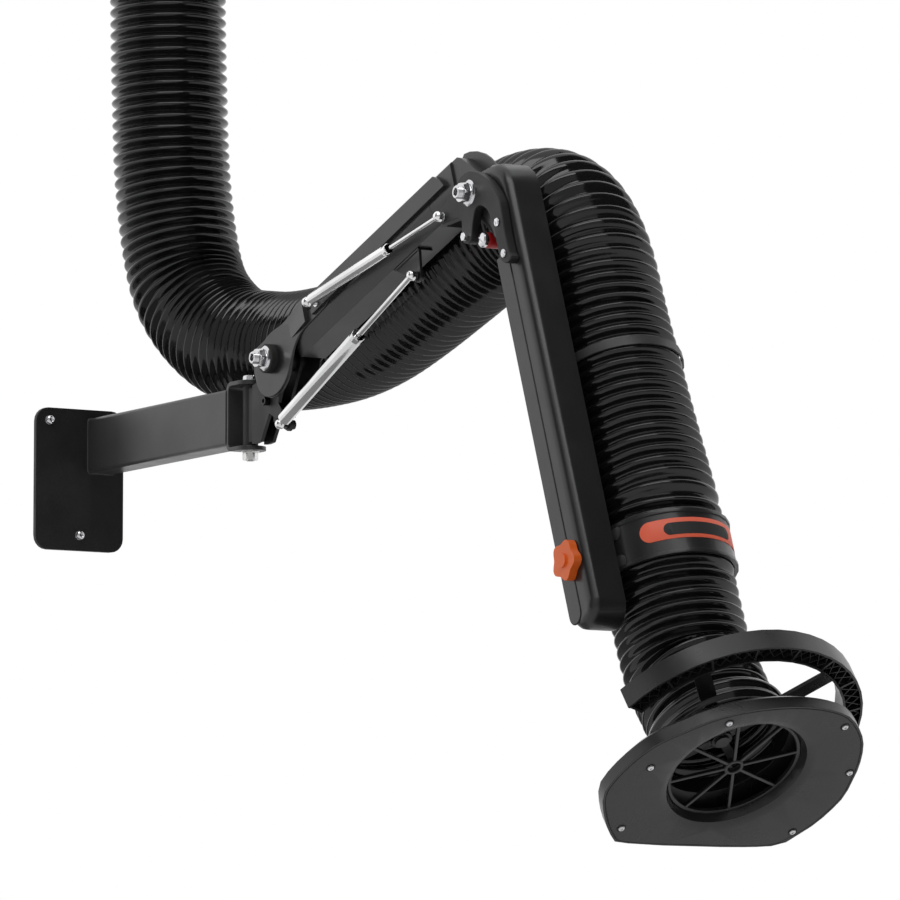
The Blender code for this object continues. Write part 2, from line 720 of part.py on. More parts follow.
def swivel():
    axis_point = Vector((SWIVEL_X, 0, 0))
    inside = FORK_OPENING * HALF_SHARE
    bush_inner = SWIVEL_BOLT_RADIUS + FIT
    bush_outer = bush_inner + BUSH_WALL
    bush = turned('swivel_bush', ((bush_inner, -inside), (bush_outer, -inside), (bush_outer, inside),
                                  (bush_inner, inside)), axis_point, UP, ring=True)
    paint(seat(bush, axis_point), WHITE_METAL, SATIN, 1)

    barrel_radius = bush_outer + FIT + BARREL_WALL
    barrel_half = inside - FIT
    bracket = rod_shape('swivel_bracket', barrel_radius, -barrel_half, barrel_half, axis_point, UP)
    join(bracket, block('swivel_core', (SWIVEL_X + BITE, -CORE_HALF_HEIGHT, -CORE_HALF_WIDTH),
                        (SWIVEL_X + CORE_LENGTH, CORE_HALF_HEIGHT, CORE_HALF_WIDTH), side))
    centre = (LOWER_PIVOT.x, LOWER_PIVOT.z)
    head = arc(centre, CHEEK_HEAD_RADIUS, CHEEK_HEAD_START, CHEEK_HEAD_END)
    outline = [(SWIVEL_X + a, b) for a, b in CHEEK_TOP] + head
    outline += [(SWIVEL_X + a, b) for a, b in CHEEK_LOWER]
    for label, low, high in (('a', -CHEEK_OUTER, -CHEEK_INNER), ('b', CHEEK_INNER, CHEEK_OUTER)):
        join(bracket, prism('swivel_cheek_' + label, outline, low, high, side))
    pivot = in_plane(LOWER_PIVOT, 0)
    join(bracket, rod_shape('swivel_pivot_tube', PIVOT_TUBE_RADIUS, -PIVOT_TUBE_HALF,
                            PIVOT_TUBE_HALF, pivot, DEPTH))
    lug = [(LUG_ROOT_X, LUG_ROOT_BOTTOM), (LIFT_LOW.x, LIFT_LOW.z - LUG_RADIUS)]
    lug += arc((LIFT_LOW.x, LIFT_LOW.z), LUG_RADIUS, -QUARTER_TURN, QUARTER_TURN)
    lug += [(LUG_ROOT_X, LUG_ROOT_TOP)]
    join(bracket, prism('swivel_lug', lug, LUG_NEAR, LUG_FAR, side))
    stop_point = Vector((STOP_BOLT_X, 0, STOP_BOLT_Z))
    bore(bracket, STOP_BOLT_RADIUS + FIT, -CHEEK_OUTER - OVERRUN, -CHEEK_INNER + OVERRUN,
         stop_point, DEPTH, SMALL_SIDES)
    bore(bracket, bush_outer + FIT, -inside - OVERRUN, inside + OVERRUN, axis_point, UP)
    reach = PIVOT_TUBE_HALF + OVERRUN
    bore(bracket, PIVOT_BOLT_RADIUS + FIT, -reach, reach, pivot, DEPTH)
    bore(bracket, BALL_NECK_RADIUS + FIT, LUG_NEAR - OVERRUN, LUG_FAR + OVERRUN,
         in_plane(LIFT_LOW, 0), DEPTH, SMALL_SIDES)
    paint(seat(bracket, axis_point), BLACK_PAINT, DULL)

    head_end = -CHEEK_OUTER - STOP_BOLT_HEAD_HEIGHT
    socket = head_end + SOCKET_DEPTH
    stop = turned('stop_bolt', ((0, -CHEEK_INNER), (STOP_BOLT_RADIUS, -CHEEK_INNER),
                                (STOP_BOLT_RADIUS, -CHEEK_OUTER),
                                (STOP_BOLT_HEAD_RADIUS, -CHEEK_OUTER),
                                (STOP_BOLT_HEAD_RADIUS, head_end), (SOCKET_RADIUS, head_end),
                                (SOCKET_RADIUS, socket), (0, socket)), stop_point, DEPTH, SMALL_SIDES)
    paint(seat(stop, axis_point), BLACK_PAINT, SATIN)
    stud = ball_stud('lift_stud', LIFT_LOW, LUG_NEAR, LUG_FAR)
    paint(seat(stud, axis_point), BLACK_PAINT, SATIN, 1)


def ball_stud(name, centre, near, far, nut=BALL_NUT_HEIGHT):
    """A ball on a neck through a plate, nutted behind it or, with no nut, ending flush."""
    half = BALL_NECK_RADIUS / BALL_RADIUS
    start = -QUARTER_TURN
    end = QUARTER_TURN - math.asin(half)
    steps = SMALL_SIDES * HALF_SHARE
    turns = [start + (end - start) * k / steps for k in range(int(steps) + 1)]
    ball = [(BALL_RADIUS * math.cos(t), centre.y + BALL_RADIUS * math.sin(t)) for t in turns]
    ball[0] = (0, centre.y - BALL_RADIUS)
    flange = near - BALL_FLANGE_HEIGHT
    profile = ball + [(BALL_NECK_RADIUS, flange), (BALL_FLANGE_RADIUS, flange),
                      (BALL_FLANGE_RADIUS, near), (BALL_NECK_RADIUS, near),
                      (BALL_NECK_RADIUS, far)]
    if nut:
        profile += [(BALL_NUT_RADIUS, far), (BALL_NUT_RADIUS, far + nut)]
    profile.append((0, far + nut))
    return turned(name, profile, in_plane(centre, 0), DEPTH, SMALL_SIDES)


def spring_end(target, centre, reach=0):
    """The cup on a spring end: open for a ball, or closed on a stud of its own."""
    profile = [(0, SOCKET_BACK), (SOCKET_BACK_RADIUS, SOCKET_BACK), (SOCKET_OUTER, SOCKET_SHOULDER),
               (SOCKET_OUTER, SOCKET_FRONT)]
    if reach:
        profile += [(BALL_NECK_RADIUS, SOCKET_FRONT), (BALL_NECK_RADIUS, reach), (0, reach)]
        return join(target, turned(target.name + '_cup', profile, centre, DEPTH, ROUND_SIDES))
    start = -QUARTER_TURN
    end = math.acos(SOCKET_MOUTH / SOCKET_INNER)
    steps = SMALL_SIDES * HALF_SHARE
    turns = [start + (end - start) * k / steps for k in range(int(steps) + 1)]
    hollow = [(SOCKET_INNER * math.cos(t), SOCKET_INNER * math.sin(t)) for t in turns]
    hollow[0] = (0, -SOCKET_INNER)
    profile += [(SOCKET_MOUTH, SOCKET_FRONT)] + hollow[::-1]
    cup = turned(target.name + '_cup', profile, centre, DEPTH, ROUND_SIDES)
    return join(target, cup)


def springs():
    reach = LIFT_HIGH - LIFT_LOW
    gland = LIFT_BODY_LENGTH - LIFT_GLAND_LENGTH
    base = SPRING_BODY_START + SPRING_BASE
    profile = ((0, SOCKET_NECK_START), (SOCKET_NECK_RADIUS, SOCKET_NECK_START),
               (SOCKET_NECK_RADIUS, SPRING_BODY_START), (LIFT_RADIUS, SPRING_BODY_START),
               (LIFT_RADIUS, LIFT_BODY_LENGTH), (LIFT_ROD_RADIUS + FIT, LIFT_BODY_LENGTH),
               (LIFT_ROD_RADIUS + FIT, gland), (LIFT_BORE, gland), (LIFT_BORE, base), (0, base))
    body = turned('lift_cylinder', profile, LIFT_LOW, reach)
    paint(seat(spring_end(body, LIFT_LOW), LIFT_LOW), WHITE_METAL, SATIN, 1)
    piston = LIFT_ROD_LENGTH - LIFT_PISTON_LENGTH
    profile = ((0, SOCKET_NECK_START), (LIFT_ROD_RADIUS, SOCKET_NECK_START),
               (LIFT_ROD_RADIUS, piston), (LIFT_PISTON_RADIUS, piston),
               (LIFT_PISTON_RADIUS, LIFT_ROD_LENGTH), (0, LIFT_ROD_LENGTH))
    rod = turned('lift_rod', profile, LIFT_HIGH, -reach)
    anchor_face = SPRING_BRACKET_NEAR - BALL_FLANGE_HEIGHT
    stud_reach = anchor_face - FIT - LIFT_PLANE
    chrome(seat(spring_end(rod, LIFT_HIGH, stud_reach), LIFT_HIGH))
    nut_end = SPRING_BRACKET_FAR + BALL_NUT_HEIGHT
    anchor = turned('lift_anchor', ((0, anchor_face), (BALL_FLANGE_RADIUS, anchor_face),
                                    (BALL_FLANGE_RADIUS, SPRING_BRACKET_NEAR),
                                    (BALL_NECK_RADIUS, SPRING_BRACKET_NEAR),
                                    (BALL_NECK_RADIUS, SPRING_BRACKET_FAR),
                                    (BALL_NUT_RADIUS, SPRING_BRACKET_FAR),
                                    (BALL_NUT_RADIUS, nut_end), (0, nut_end)),
                    in_plane(LIFT_HIGH, 0), DEPTH, SMALL_SIDES)
    paint(seat(anchor, in_plane(LOWER_PIVOT, 0)), BLACK_PAINT, SATIN, 1)

    reach = ELBOW_HIGH - ELBOW_LOW
    profile = ((0, SOCKET_NECK_START), (SOCKET_NECK_RADIUS, SOCKET_NECK_START),
               (SOCKET_NECK_RADIUS, SPRING_BODY_START), (ELBOW_RADIUS, SPRING_BODY_START),
               (ELBOW_RADIUS, ELBOW_BODY_LENGTH), (ELBOW_BORE, ELBOW_BODY_LENGTH),
               (ELBOW_BORE, base), (0, base))
    body = turned('elbow_cylinder', profile, ELBOW_LOW, reach)
    paint(seat(spring_end(body, ELBOW_LOW), ELBOW_LOW), WHITE_METAL, SATIN, 1)
    rod = rod_shape('elbow_rod', ELBOW_ROD_RADIUS, SOCKET_NECK_START, ELBOW_ROD_LENGTH, ELBOW_HIGH,
                    -reach)
    chrome(seat(spring_end(rod, ELBOW_HIGH), ELBOW_HIGH))


def pivot_bolt(name, pivot, rear, front_face):
    """A bolt along Y with a hexagon head at the rear and a hollow front end."""
    point = in_plane(pivot, 0)
    end = front_face - PIVOT_NUT_HEIGHT - PIVOT_BOLT_END
    profile = ((0, rear + BITE), (PIVOT_BOLT_RADIUS, rear + BITE), (PIVOT_BOLT_RADIUS, end),
               (PIVOT_END_BORE, end), (PIVOT_END_BORE, end + PIVOT_BOLT_END),
               (0, end + PIVOT_BOLT_END))
    bolt = turned(name, profile, point, DEPTH)
    return join(bolt, rod_shape(name + '_head', PIVOT_BOLT_HEAD_RADIUS, rear,
                                rear + PIVOT_BOLT_HEAD_HEIGHT, point, DEPTH, HEX_SIDES))


def pivot_nut(name, pivot, face):
    """A flanged nut tightened against a face from the front."""
    point = in_plane(pivot, 0)
    flange_end = face - PIVOT_NUT_FLANGE_HEIGHT
    nut = rod_shape(name, PIVOT_NUT_FLANGE_RADIUS, flange_end, face, point, DEPTH)
    join(nut, rod_shape(name + '_hex', PIVOT_NUT_RADIUS, face - PIVOT_NUT_HEIGHT, flange_end + BITE,
                        point, DEPTH, HEX_SIDES))
    return bore(nut, PIVOT_BOLT_RADIUS + FIT, face - PIVOT_NUT_HEIGHT - OVERRUN, face + OVERRUN,
                point, DEPTH)


def lobe(radius, top):
    """The round end of the inner arm about its pivot, cut level at the top."""
    start = HALF_TURN - math.asin(top / radius)
    return arc((0, 0), radius, start, LOBE_END)


def inner_arm():
    pivot = in_plane(LOWER_PIVOT, 0)
    section = ((ARM_FRONT, ARM_TOP - ARM_EDGE), (ARM_FRONT + ARM_EDGE, ARM_TOP), (ARM_REAR, ARM_TOP),
               (ARM_REAR, ARM_BOTTOM), (ARM_CREASE_Y, ARM_BOTTOM), (ARM_FRONT, ARM_CREASE))
    inner = ARM_FRONT + ARM_WALL
    hollow = ((inner, ARM_TOP - ARM_WALL), (ARM_REAR + OVERRUN, ARM_TOP - ARM_WALL),
              (ARM_REAR + OVERRUN, ARM_BOTTOM + ARM_WALL),
              (ARM_CREASE_Y + ARM_WALL * HALF_SHARE, ARM_BOTTOM + ARM_WALL), (inner, ARM_CREASE))
    arm = prism('inner_arm', section, ARM_START, DEEP_END, inner_section)
    cut(arm, prism('arm_hollow', hollow, ARM_START - OVERRUN, DEEP_END - ARM_WALL, inner_section))
    cut(arm, block('arm_underside', (ARM_START - OVERRUN, ARM_BOTTOM - OVERRUN, ARM_FRONT - OVERRUN),
                   (WEB_START, ARM_CREASE + BITE, ARM_REAR + OVERRUN), on_inner))
    edge = ARM_TOP - ARM_EDGE - FIT
    join(arm, prism('arm_lobe', lobe(LOBE_RADIUS, edge), ARM_FRONT, inner, on_inner))
    narrow = ((ARM_FRONT + FIT, edge), (ARM_FRONT + ARM_EDGE, ARM_TOP - FIT),
              (TONGUE_REAR, ARM_TOP - FIT), (TONGUE_REAR, ARM_BOTTOM + FIT),
              (ARM_CREASE_Y, ARM_BOTTOM + FIT), (ARM_FRONT + FIT, ARM_CREASE))
    join(arm, prism('arm_narrow', narrow, DEEP_END - BITE, NARROW_END, inner_section))
    join(arm, prism('arm_tongue', TONGUE_OUTLINE, TONGUE_FRONT, TONGUE_REAR, on_inner))
    ramp = ((LOWER_PAD_START, ARM_FRONT + BITE), (LOWER_PAD_START, ARM_FRONT),
            (LOWER_PAD_END, ARM_FRONT - LOWER_PAD_HEIGHT), (LOWER_PAD_END, ARM_FRONT + BITE))
    join(arm, prism('arm_lower_pad', ramp, LOWER_PAD_FOOT, edge - FIT, inner_plan))
    join(arm, prism('arm_upper_pad', UPPER_PAD_OUTLINE, ARM_FRONT - UPPER_PAD_HEIGHT,
                    ARM_FRONT + BITE, on_inner))
    bore(arm, PIVOT_BOLT_RADIUS + FIT, ARM_FRONT - OVERRUN, inner + OVERRUN, pivot, DEPTH)
    bore(arm, PIVOT_BOLT_RADIUS + FIT, TONGUE_FRONT - OVERRUN, TONGUE_REAR + OVERRUN,
         in_plane(UPPER_PIVOT, 0), DEPTH)
    bore(arm, BALL_NECK_RADIUS + FIT, ARM_FRONT - UPPER_PAD_HEIGHT - OVERRUN, inner + OVERRUN,
         in_plane(ELBOW_LOW, 0), DEPTH, SMALL_SIDES)
    paint(seat(arm, pivot), BLACK_PAINT, SATIN)

    cover_front = ARM_REAR - ARM_WALL
    outline = lobe(LOBE_RADIUS, ARM_TOP - ARM_WALL - FIT)
    web = WEB_START - FIT
    outline = [p for p in outline if p[0] < web]
    outline += [(web, ARM_BOTTOM + ARM_WALL + FIT), (DEEP_END - ARM_WALL - FIT,
                                                    ARM_BOTTOM + ARM_WALL + FIT),
                (DEEP_END - ARM_WALL - FIT, ARM_TOP - ARM_WALL - FIT)]
    cover = prism('inner_arm_cover', outline, cover_front, ARM_REAR, on_inner)
    bore(cover, PIVOT_BOLT_RADIUS + FIT, cover_front - OVERRUN, ARM_REAR + OVERRUN, pivot, DEPTH)
    paint(seat(cover, pivot), BLACK_PAINT, SATIN)

    washer_face = ARM_FRONT - FRICTION_WASHER_THICKNESS
    washer = turned('friction_washer', ((PIVOT_BOLT_RADIUS + FIT, washer_face),
                                        (FRICTION_WASHER_RADIUS, washer_face),
                                        (FRICTION_WASHER_RADIUS, ARM_FRONT),
                                        (PIVOT_BOLT_RADIUS + FIT, ARM_FRONT)), pivot, DEPTH,
                    ring=True)
    paint(seat(washer, pivot), HOSE_BLACK, DULL)
    chrome(seat(pivot_bolt('shoulder_bolt', LOWER_PIVOT, ARM_REAR, washer_face), pivot))
    chrome(seat(pivot_nut('shoulder_nut', LOWER_PIVOT, washer_face), pivot))

    eye = along(Vector((0, 0, 0)), -INNER_RISE, LIFT_HIGH.x - LOWER_PIVOT.x,
                LIFT_HIGH.z - LOWER_PIVOT.z, 0)
    web_outline = [(SPRING_BRACKET_END, ARM_BOTTOM), (SPRING_BRACKET_START, ARM_BOTTOM)]
    web_outline += arc((eye.x, eye.z), SPRING_EYE_RADIUS, SPRING_EYE_START, SPRING_EYE_END)
    bracket = prism('spring_bracket', web_outline, SPRING_BRACKET_NEAR, SPRING_BRACKET_FAR, on_inner)
    join(bracket, block('spring_bracket_flange',
                        (SPRING_BRACKET_START, ARM_BOTTOM - SPRING_BRACKET_FLANGE,
                         SPRING_BRACKET_FLANGE_FRONT),
                        (SPRING_BRACKET_END, ARM_BOTTOM, SPRING_BRACKET_FLANGE_REAR), on_inner))
    bore(bracket, BALL_NECK_RADIUS + FIT, SPRING_BRACKET_NEAR - OVERRUN, SPRING_BRACKET_FAR + OVERRUN,
         in_plane(LIFT_HIGH, 0), DEPTH, SMALL_SIDES)
    paint(seat(bracket, pivot), BLACK_PAINT, DULL)
    stud = ball_stud('elbow_spring_stud', ELBOW_LOW, ARM_FRONT - UPPER_PAD_HEIGHT, inner, 0)
    chrome(seat(stud, pivot))
    hanger = block('hose_hanger', (HANGER_START, ARM_TOP, HANGER_NEAR),
                   (HANGER_START + HANGER_LENGTH, ARM_TOP + HANGER_HEIGHT, HANGER_FAR), on_inner)
    paint(seat(hanger, pivot), HOSE_BLACK, DULL)


def inset(outline, amount):
    """Move each corner of an outline inward by the same amount."""
    count = len(outline)
    area = sum(outline[i - 1][0] * outline[i][1] - outline[i][0] * outline[i - 1][1]
               for i in range(count))
    turn = 1 if area > 0 else -1
    moved = []
    for i in range(count):
        before = Vector(outline[i - 1])
        here = Vector(outline[i])
        after = Vector(outline[(i + 1) % count])
        first = (here - before).normalized()
        second = (after - here).normalized()
        normal = Vector((-first.y - second.y, first.x + second.x)).normalized() * turn
        spread = max(HALF_SHARE, normal.dot(Vector((-first.y, first.x))) * turn)
        moved.append(tuple(here + normal * (amount / spread)))
    return moved


def outer_outline():
    """Outline of the outer arm along it and across it."""
    middle = (OUTER_LEFT + OUTER_RIGHT) * HALF_SHARE
    radius = (OUTER_RIGHT - OUTER_LEFT) * HALF_SHARE
    end = arc((OUTER_END_CENTRE, middle), radius, QUARTER_TURN, -QUARTER_TURN)
    return list(HEAD_OUTLINE) + end + list(HEAD_FOOT_OUTLINE)


def soft_edge_prism(name, outline, low, high, radius, frame):
    """A prism whose edge at the low end is rounded."""
    rings = []
    for k in range(EDGE_STEPS + 1):
        t = QUARTER_TURN * (1 - k / EDGE_STEPS)
        drawn = inset(outline, radius * (1 - math.cos(t))) if k < EDGE_STEPS else outline
        rings.append([frame(a, b, low + radius * (1 - math.sin(t))) for a, b in drawn])
    rings.append([frame(a, b, high) for a, b in outline])
    return rings_solid(name, rings)


def outer_arm():
    pivot = in_plane(UPPER_PIVOT, 0)
    outline = outer_outline()
    arm = soft_edge_prism('outer_arm', outline, OUTER_FRONT, OUTER_REAR, OUTER_EDGE_RADIUS, on_outer)
    inner = OUTER_FRONT + OUTER_WALL
    cut(arm, soft_edge_prism('outer_hollow', inset(outline, OUTER_WALL), inner,
                             OUTER_REAR + OVERRUN, OUTER_EDGE_RADIUS - OUTER_WALL, on_outer))
    far = OUTER_REAR + OVERRUN
    cut(arm, block('outer_opening', (-HEAD_RADIUS, -HEAD_RADIUS, inner),
                   (OPEN_END, OUTER_LEFT + OUTER_WALL + BITE, far), on_outer))
    cut(arm, block('outer_top_opening', (-HEAD_RADIUS, -HEAD_RADIUS, inner), (0, OPEN_TOP, far),
                   on_outer))
    bore(arm, PIVOT_BOLT_RADIUS + FIT, OUTER_FRONT - OVERRUN, inner + OVERRUN, pivot, DEPTH)
    for spot in (LEVER_SCREW_1, LEVER_SCREW_2):
        bore(arm, SCREW_SHANK + FIT, OUTER_FRONT - OVERRUN, inner + OVERRUN,
             on_outer(spot[0], spot[1], 0), DEPTH, SMALL_SIDES)
    bore(arm, KNOB_STUD_RADIUS + FIT, OUTER_FRONT - OVERRUN, inner + OVERRUN,
         on_outer(KNOB_CENTRE[0], KNOB_CENTRE[1], 0), DEPTH, SMALL_SIDES)
    paint(seat(arm, pivot), BLACK_PAINT, SATIN)

    covered = inset(outline, OUTER_WALL + FIT)
    cover = prism('outer_arm_cover', covered, OUTER_REAR - OUTER_WALL, OUTER_REAR, on_outer)
    cut(cover, block('cover_trim', (-HEAD_RADIUS, -HEAD_RADIUS, -far),
                     (OPEN_END + BITE, OPEN_TOP, far + OVERRUN), on_outer))
    paint(seat(cover, pivot), BLACK_PAINT, SATIN)

    cheek = prism('elbow_cheek', ELBOW_CHEEK_OUTLINE, ELBOW_CHEEK_FRONT, ELBOW_CHEEK_REAR, on_outer)
    bore(cheek, PIVOT_BOLT_RADIUS + FIT, ELBOW_CHEEK_FRONT - OVERRUN, ELBOW_CHEEK_REAR + OVERRUN,
         pivot, DEPTH)
    paint(seat(cheek, pivot), GREY_PAINT, SATIN)

    lever = prism('elbow_lever', LEVER_OUTLINE, LEVER_FRONT, LEVER_REAR, on_outer)
    bore(lever, PIVOT_BOLT_RADIUS + FIT, LEVER_FRONT - OVERRUN, LEVER_REAR + OVERRUN, pivot, DEPTH)
    spots = [on_outer(a, b, 0) for a, b in (LEVER_SCREW_1, LEVER_SCREW_2, LEVER_BOLT)]
    for spot in spots + [in_plane(ELBOW_HIGH, 0)]:
        bore(lever, SCREW_SHANK + FIT, LEVER_FRONT - OVERRUN, LEVER_REAR + OVERRUN, spot, DEPTH,
             SMALL_SIDES)
    paint(seat(lever, pivot), BLACK_PAINT, SATIN)
    for number, spot in enumerate(spots[:-1], start=1):
        chrome(seat(dome_screw('lever_screw_' + str(number), spot, LEVER_FRONT, inner, DEPTH,
                               LEVER_SCREW_RADIUS, LEVER_SCREW_HEIGHT, SCREW_SHANK), pivot))
    top = LEVER_FRONT - LEVER_BOLT_HEIGHT
    bolt = rod_shape('lever_bolt', SCREW_SHANK, LEVER_FRONT - BITE, LEVER_REAR, spots[-1], DEPTH,
                     SMALL_SIDES)
    join(bolt, rod_shape('lever_bolt_head', LEVER_BOLT_RADIUS, top, LEVER_FRONT, spots[-1], DEPTH,
                         HEX_SIDES))
    chrome(seat(bolt, pivot))
    chrome(seat(ball_stud('lever_stud', ELBOW_HIGH, LEVER_FRONT, LEVER_REAR, 0), pivot))
    chrome(seat(pivot_bolt('elbow_bolt', UPPER_PIVOT, ELBOW_CHEEK_REAR, LEVER_FRONT), pivot))
    chrome(seat(pivot_nut('elbow_nut', UPPER_PIVOT, LEVER_FRONT), pivot))

    spot = on_outer(STOP_CENTRE[0], STOP_CENTRE[1], 0)
    cap = rod_shape('stop_cap', STOP_CAP_RADIUS, STOP_CAP_FRONT, ELBOW_CHEEK_FRONT, spot, DEPTH)
    paint(seat(cap, pivot), RED, SATIN)
    screw = rod_shape('stop_screw', STOP_SCREW_RADIUS, STOP_SCREW_FRONT, STOP_CAP_FRONT, spot, DEPTH)
    cut(screw, slot_cutter('stop_screw_slot', spot, STOP_SCREW_FRONT, DEPTH, STOP_SCREW_RADIUS))
    chrome(seat(screw, pivot))

    centre = on_outer(KNOB_CENTRE[0], KNOB_CENTRE[1], 0)
    rings = []
    face = OUTER_FRONT - FIT
    middle = (1 + KNOB_VALLEY_SHARE) * HALF_SHARE
    swing = (1 - KNOB_VALLEY_SHARE) * HALF_SHARE
    for depth in (face, face - KNOB_HEIGHT):
        ring = []
        for k in range(KNOB_STEPS):
            t = FULL_TURN * k / KNOB_STEPS
            radius = KNOB_RADIUS * (middle + swing * math.cos(KNOB_LOBES * t))
            ring.append(side(centre.x + radius * math.cos(t), centre.z + radius * math.sin(t), depth))
        rings.append(ring)
    knob = rings_solid('knob', rings)
    join(knob, rod_shape('knob_hub', KNOB_HUB_RADIUS, face - KNOB_HEIGHT - KNOB_HUB_HEIGHT,
                         face - KNOB_HEIGHT + BITE, centre, DEPTH))
    join(knob, rod_shape('knob_stud', KNOB_STUD_RADIUS, face - BITE, face + KNOB_STUD_LENGTH, centre,
                         DEPTH, SMALL_SIDES))
    paint(seat(knob, centre), ORANGE, SATIN)


def slot_cutter(name, spot, face, direction, reach):
    """A bar that cuts a level screwdriver slot in a face crossed by Y."""
    half = SLOT_WIDTH * HALF_SHARE
    return block(name, (spot.x - reach - OVERRUN, spot.z - half, face - OVERRUN),
                 (spot.x + reach + OVERRUN, spot.z + half, face + SLOT_DEPTH), side)


def dome_screw(name, spot, face, far, direction, radius, height, shank):
    """A domed screw head on a face with its shank running to the far side."""
    crown = radius * HALF_SHARE
    profile = ((0, far), (shank, far), (shank, face), (radius, face),
               (radius, face - height * HALF_SHARE), (crown, face - height), (0, face - height))
    screw = turned(name, profile, spot, direction, SMALL_SIDES)
    return cut(screw, slot_cutter(name + '_slot', spot, face - height, direction, radius))


def smooth_path(points):
    """A smooth line through the points, sampled closely."""
    places = [Vector(p) for p in points]
    line = []
    for i in range(len(places) - 1):
        first = places[max(i - 1, 0)]
        last = places[min(i + 2, len(places) - 1)]
        here = places[i]
        there = places[i + 1]
        pull = (there - first) * HALF_SHARE
        push = (last - here) * HALF_SHARE
        for k in range(PATH_STEPS):
            t = k / PATH_STEPS
            blend = t * t * (3 - 2 * t)
            line.append(here.lerp(there, blend) + pull * (t * (1 - t) ** 2) - push * (t * t * (1 - t)))
    line.append(places[-1])
    return line


def measured(line):
    """Distance travelled at each point of a line."""
    travel = [0]
    for before, here in zip(line, line[1:]):
        travel.append(travel[-1] + (here - before).length)
    return travel


def at_distance(line, travel, distance):
    """Place and direction at a distance along a line."""
    i = 1
    while i < len(travel) - 1 and travel[i] < distance:
        i += 1
    span = travel[i] - travel[i - 1]
    share = (distance - travel[i - 1]) / span
    last = len(line) - 1
    before = (line[i] - line[max(i - 2, 0)]).normalized()
    after = (line[min(i + 1, last)] - line[i - 1]).normalized()
    return line[i - 1].lerp(line[i], share), before.lerp(after, share).normalized()


def hose_ring(line, travel, distance, radius):
    centre, direction = at_distance(line, travel, distance)
    across = direction.cross(DEPTH).normalized()
    other = direction.cross(across)
    turns = [FULL_TURN * (k + HALF_SHARE) / HOSE_SIDES for k in range(HOSE_SIDES)]
    return [centre + across * (radius * math.cos(t)) + other * (radius * math.sin(t)) for t in turns]


def hose_stretch(name, line, travel, start, end, pivot):
    """A ribbed stretch of hose with a plainer bore and square ends."""
    start += HOSE_END_GAP
    end -= HOSE_END_GAP
    count = max(1, round((end - start) / RIB_PITCH))
    pitch = (end - start) / count
    rings = []
    for k in range(count):
        rings.append(hose_ring(line, travel, start + pitch * k, HOSE_ROOT_RADIUS))
        rings.append(hose_ring(line, travel, start + pitch * (k + HALF_SHARE), HOSE_RADIUS))
    rings.append(hose_ring(line, travel, end, HOSE_ROOT_RADIUS))
    count = max(1, round((end - start) / BORE_PITCH))
    for k in range(count + 1):
        rings.append(hose_ring(line, travel, end + (start - end) * k / count, HOSE_BORE))
    hose = rings_solid(name, rings, closed=True)
    return paint(seat(hose, pivot), HOSE_BLACK, SATIN)


def travel_to(line, travel, value):
    """Distance along the line where a value first rises through zero."""
    for i in range(1, len(line)):
        low = value(line[i - 1])
        high = value(line[i])
        if low < 0 <= high:
            return travel[i - 1] + (travel[i] - travel[i - 1]) * low / (low - high)
    return travel[-1]


def hose_path():
    """The centre line of the whole hose, straight through the collar and into the hood."""
    path = [Vector(p) for p in RISER_PATH]
    path += [Vector((SWIVEL_X + x, y, z)) for x, y, z in BEND_PATH]
    path += [Vector((SWIVEL_X + x, HOSE_PLANE, z)) for x, z in ARM_PATH]
    path += [on_outer(COLLAR_POSITION + d, COLLAR_SIDE, HOSE_PLANE) for d in COLLAR_PATH]
    path += [on_hood(0, 0, d) for d in HOOD_PATH]
    return smooth_path(path)


def hose():
    line = hose_path()
    travel = measured(line)
    swivel_point = Vector((SWIVEL_X, 0, 0))
    lower = in_plane(LOWER_PIVOT, 0)
    upper = in_plane(UPPER_PIVOT, 0)
    riser_end = travel_to(line, travel, lambda p: RISER_FOOT - p.z)
    swivel_end = travel_to(line, travel, lambda p: p.x - SWIVEL_X - SWIVEL_BEND_REACH)
    shoulder_end = travel_to(line, travel, lambda p: p.x - SWIVEL_X - SHOULDER_BEND_REACH)
    elbow_start = travel_to(line, travel, lambda p: p.x - SWIVEL_X - ELBOW_BEND_REACH)
    elbow_end = travel_to(line, travel, lambda p: min(p.x - upper.x, LIFT_HIGH.z - p.z))
    collar = on_outer(COLLAR_POSITION, COLLAR_SIDE, HOSE_PLANE)
    gap = SPIDER_THICKNESS * HALF_SHARE + FIT
    outer_end = travel_to(line, travel, lambda p: min((p - collar).dot(ARM_DOWN), p.x - upper.x))
    hose_stretch('hose_riser', line, travel, 0, riser_end, (0, 0, 0))
    hose_stretch('hose_swivel_bend', line, travel, riser_end, swivel_end, (0, 0, 0))
    hose_stretch('hose_shoulder_bend', line, travel, swivel_end, shoulder_end, swivel_point)
    hose_stretch('hose_inner', line, travel, shoulder_end, elbow_start, lower)
    hose_stretch('hose_elbow_bend', line, travel, elbow_start, elbow_end, lower)
    hose_stretch('hose_outer', line, travel, elbow_end, outer_end - gap, upper)
    hose_stretch('hose_tail', line, travel, outer_end + gap, travel[-1], upper)


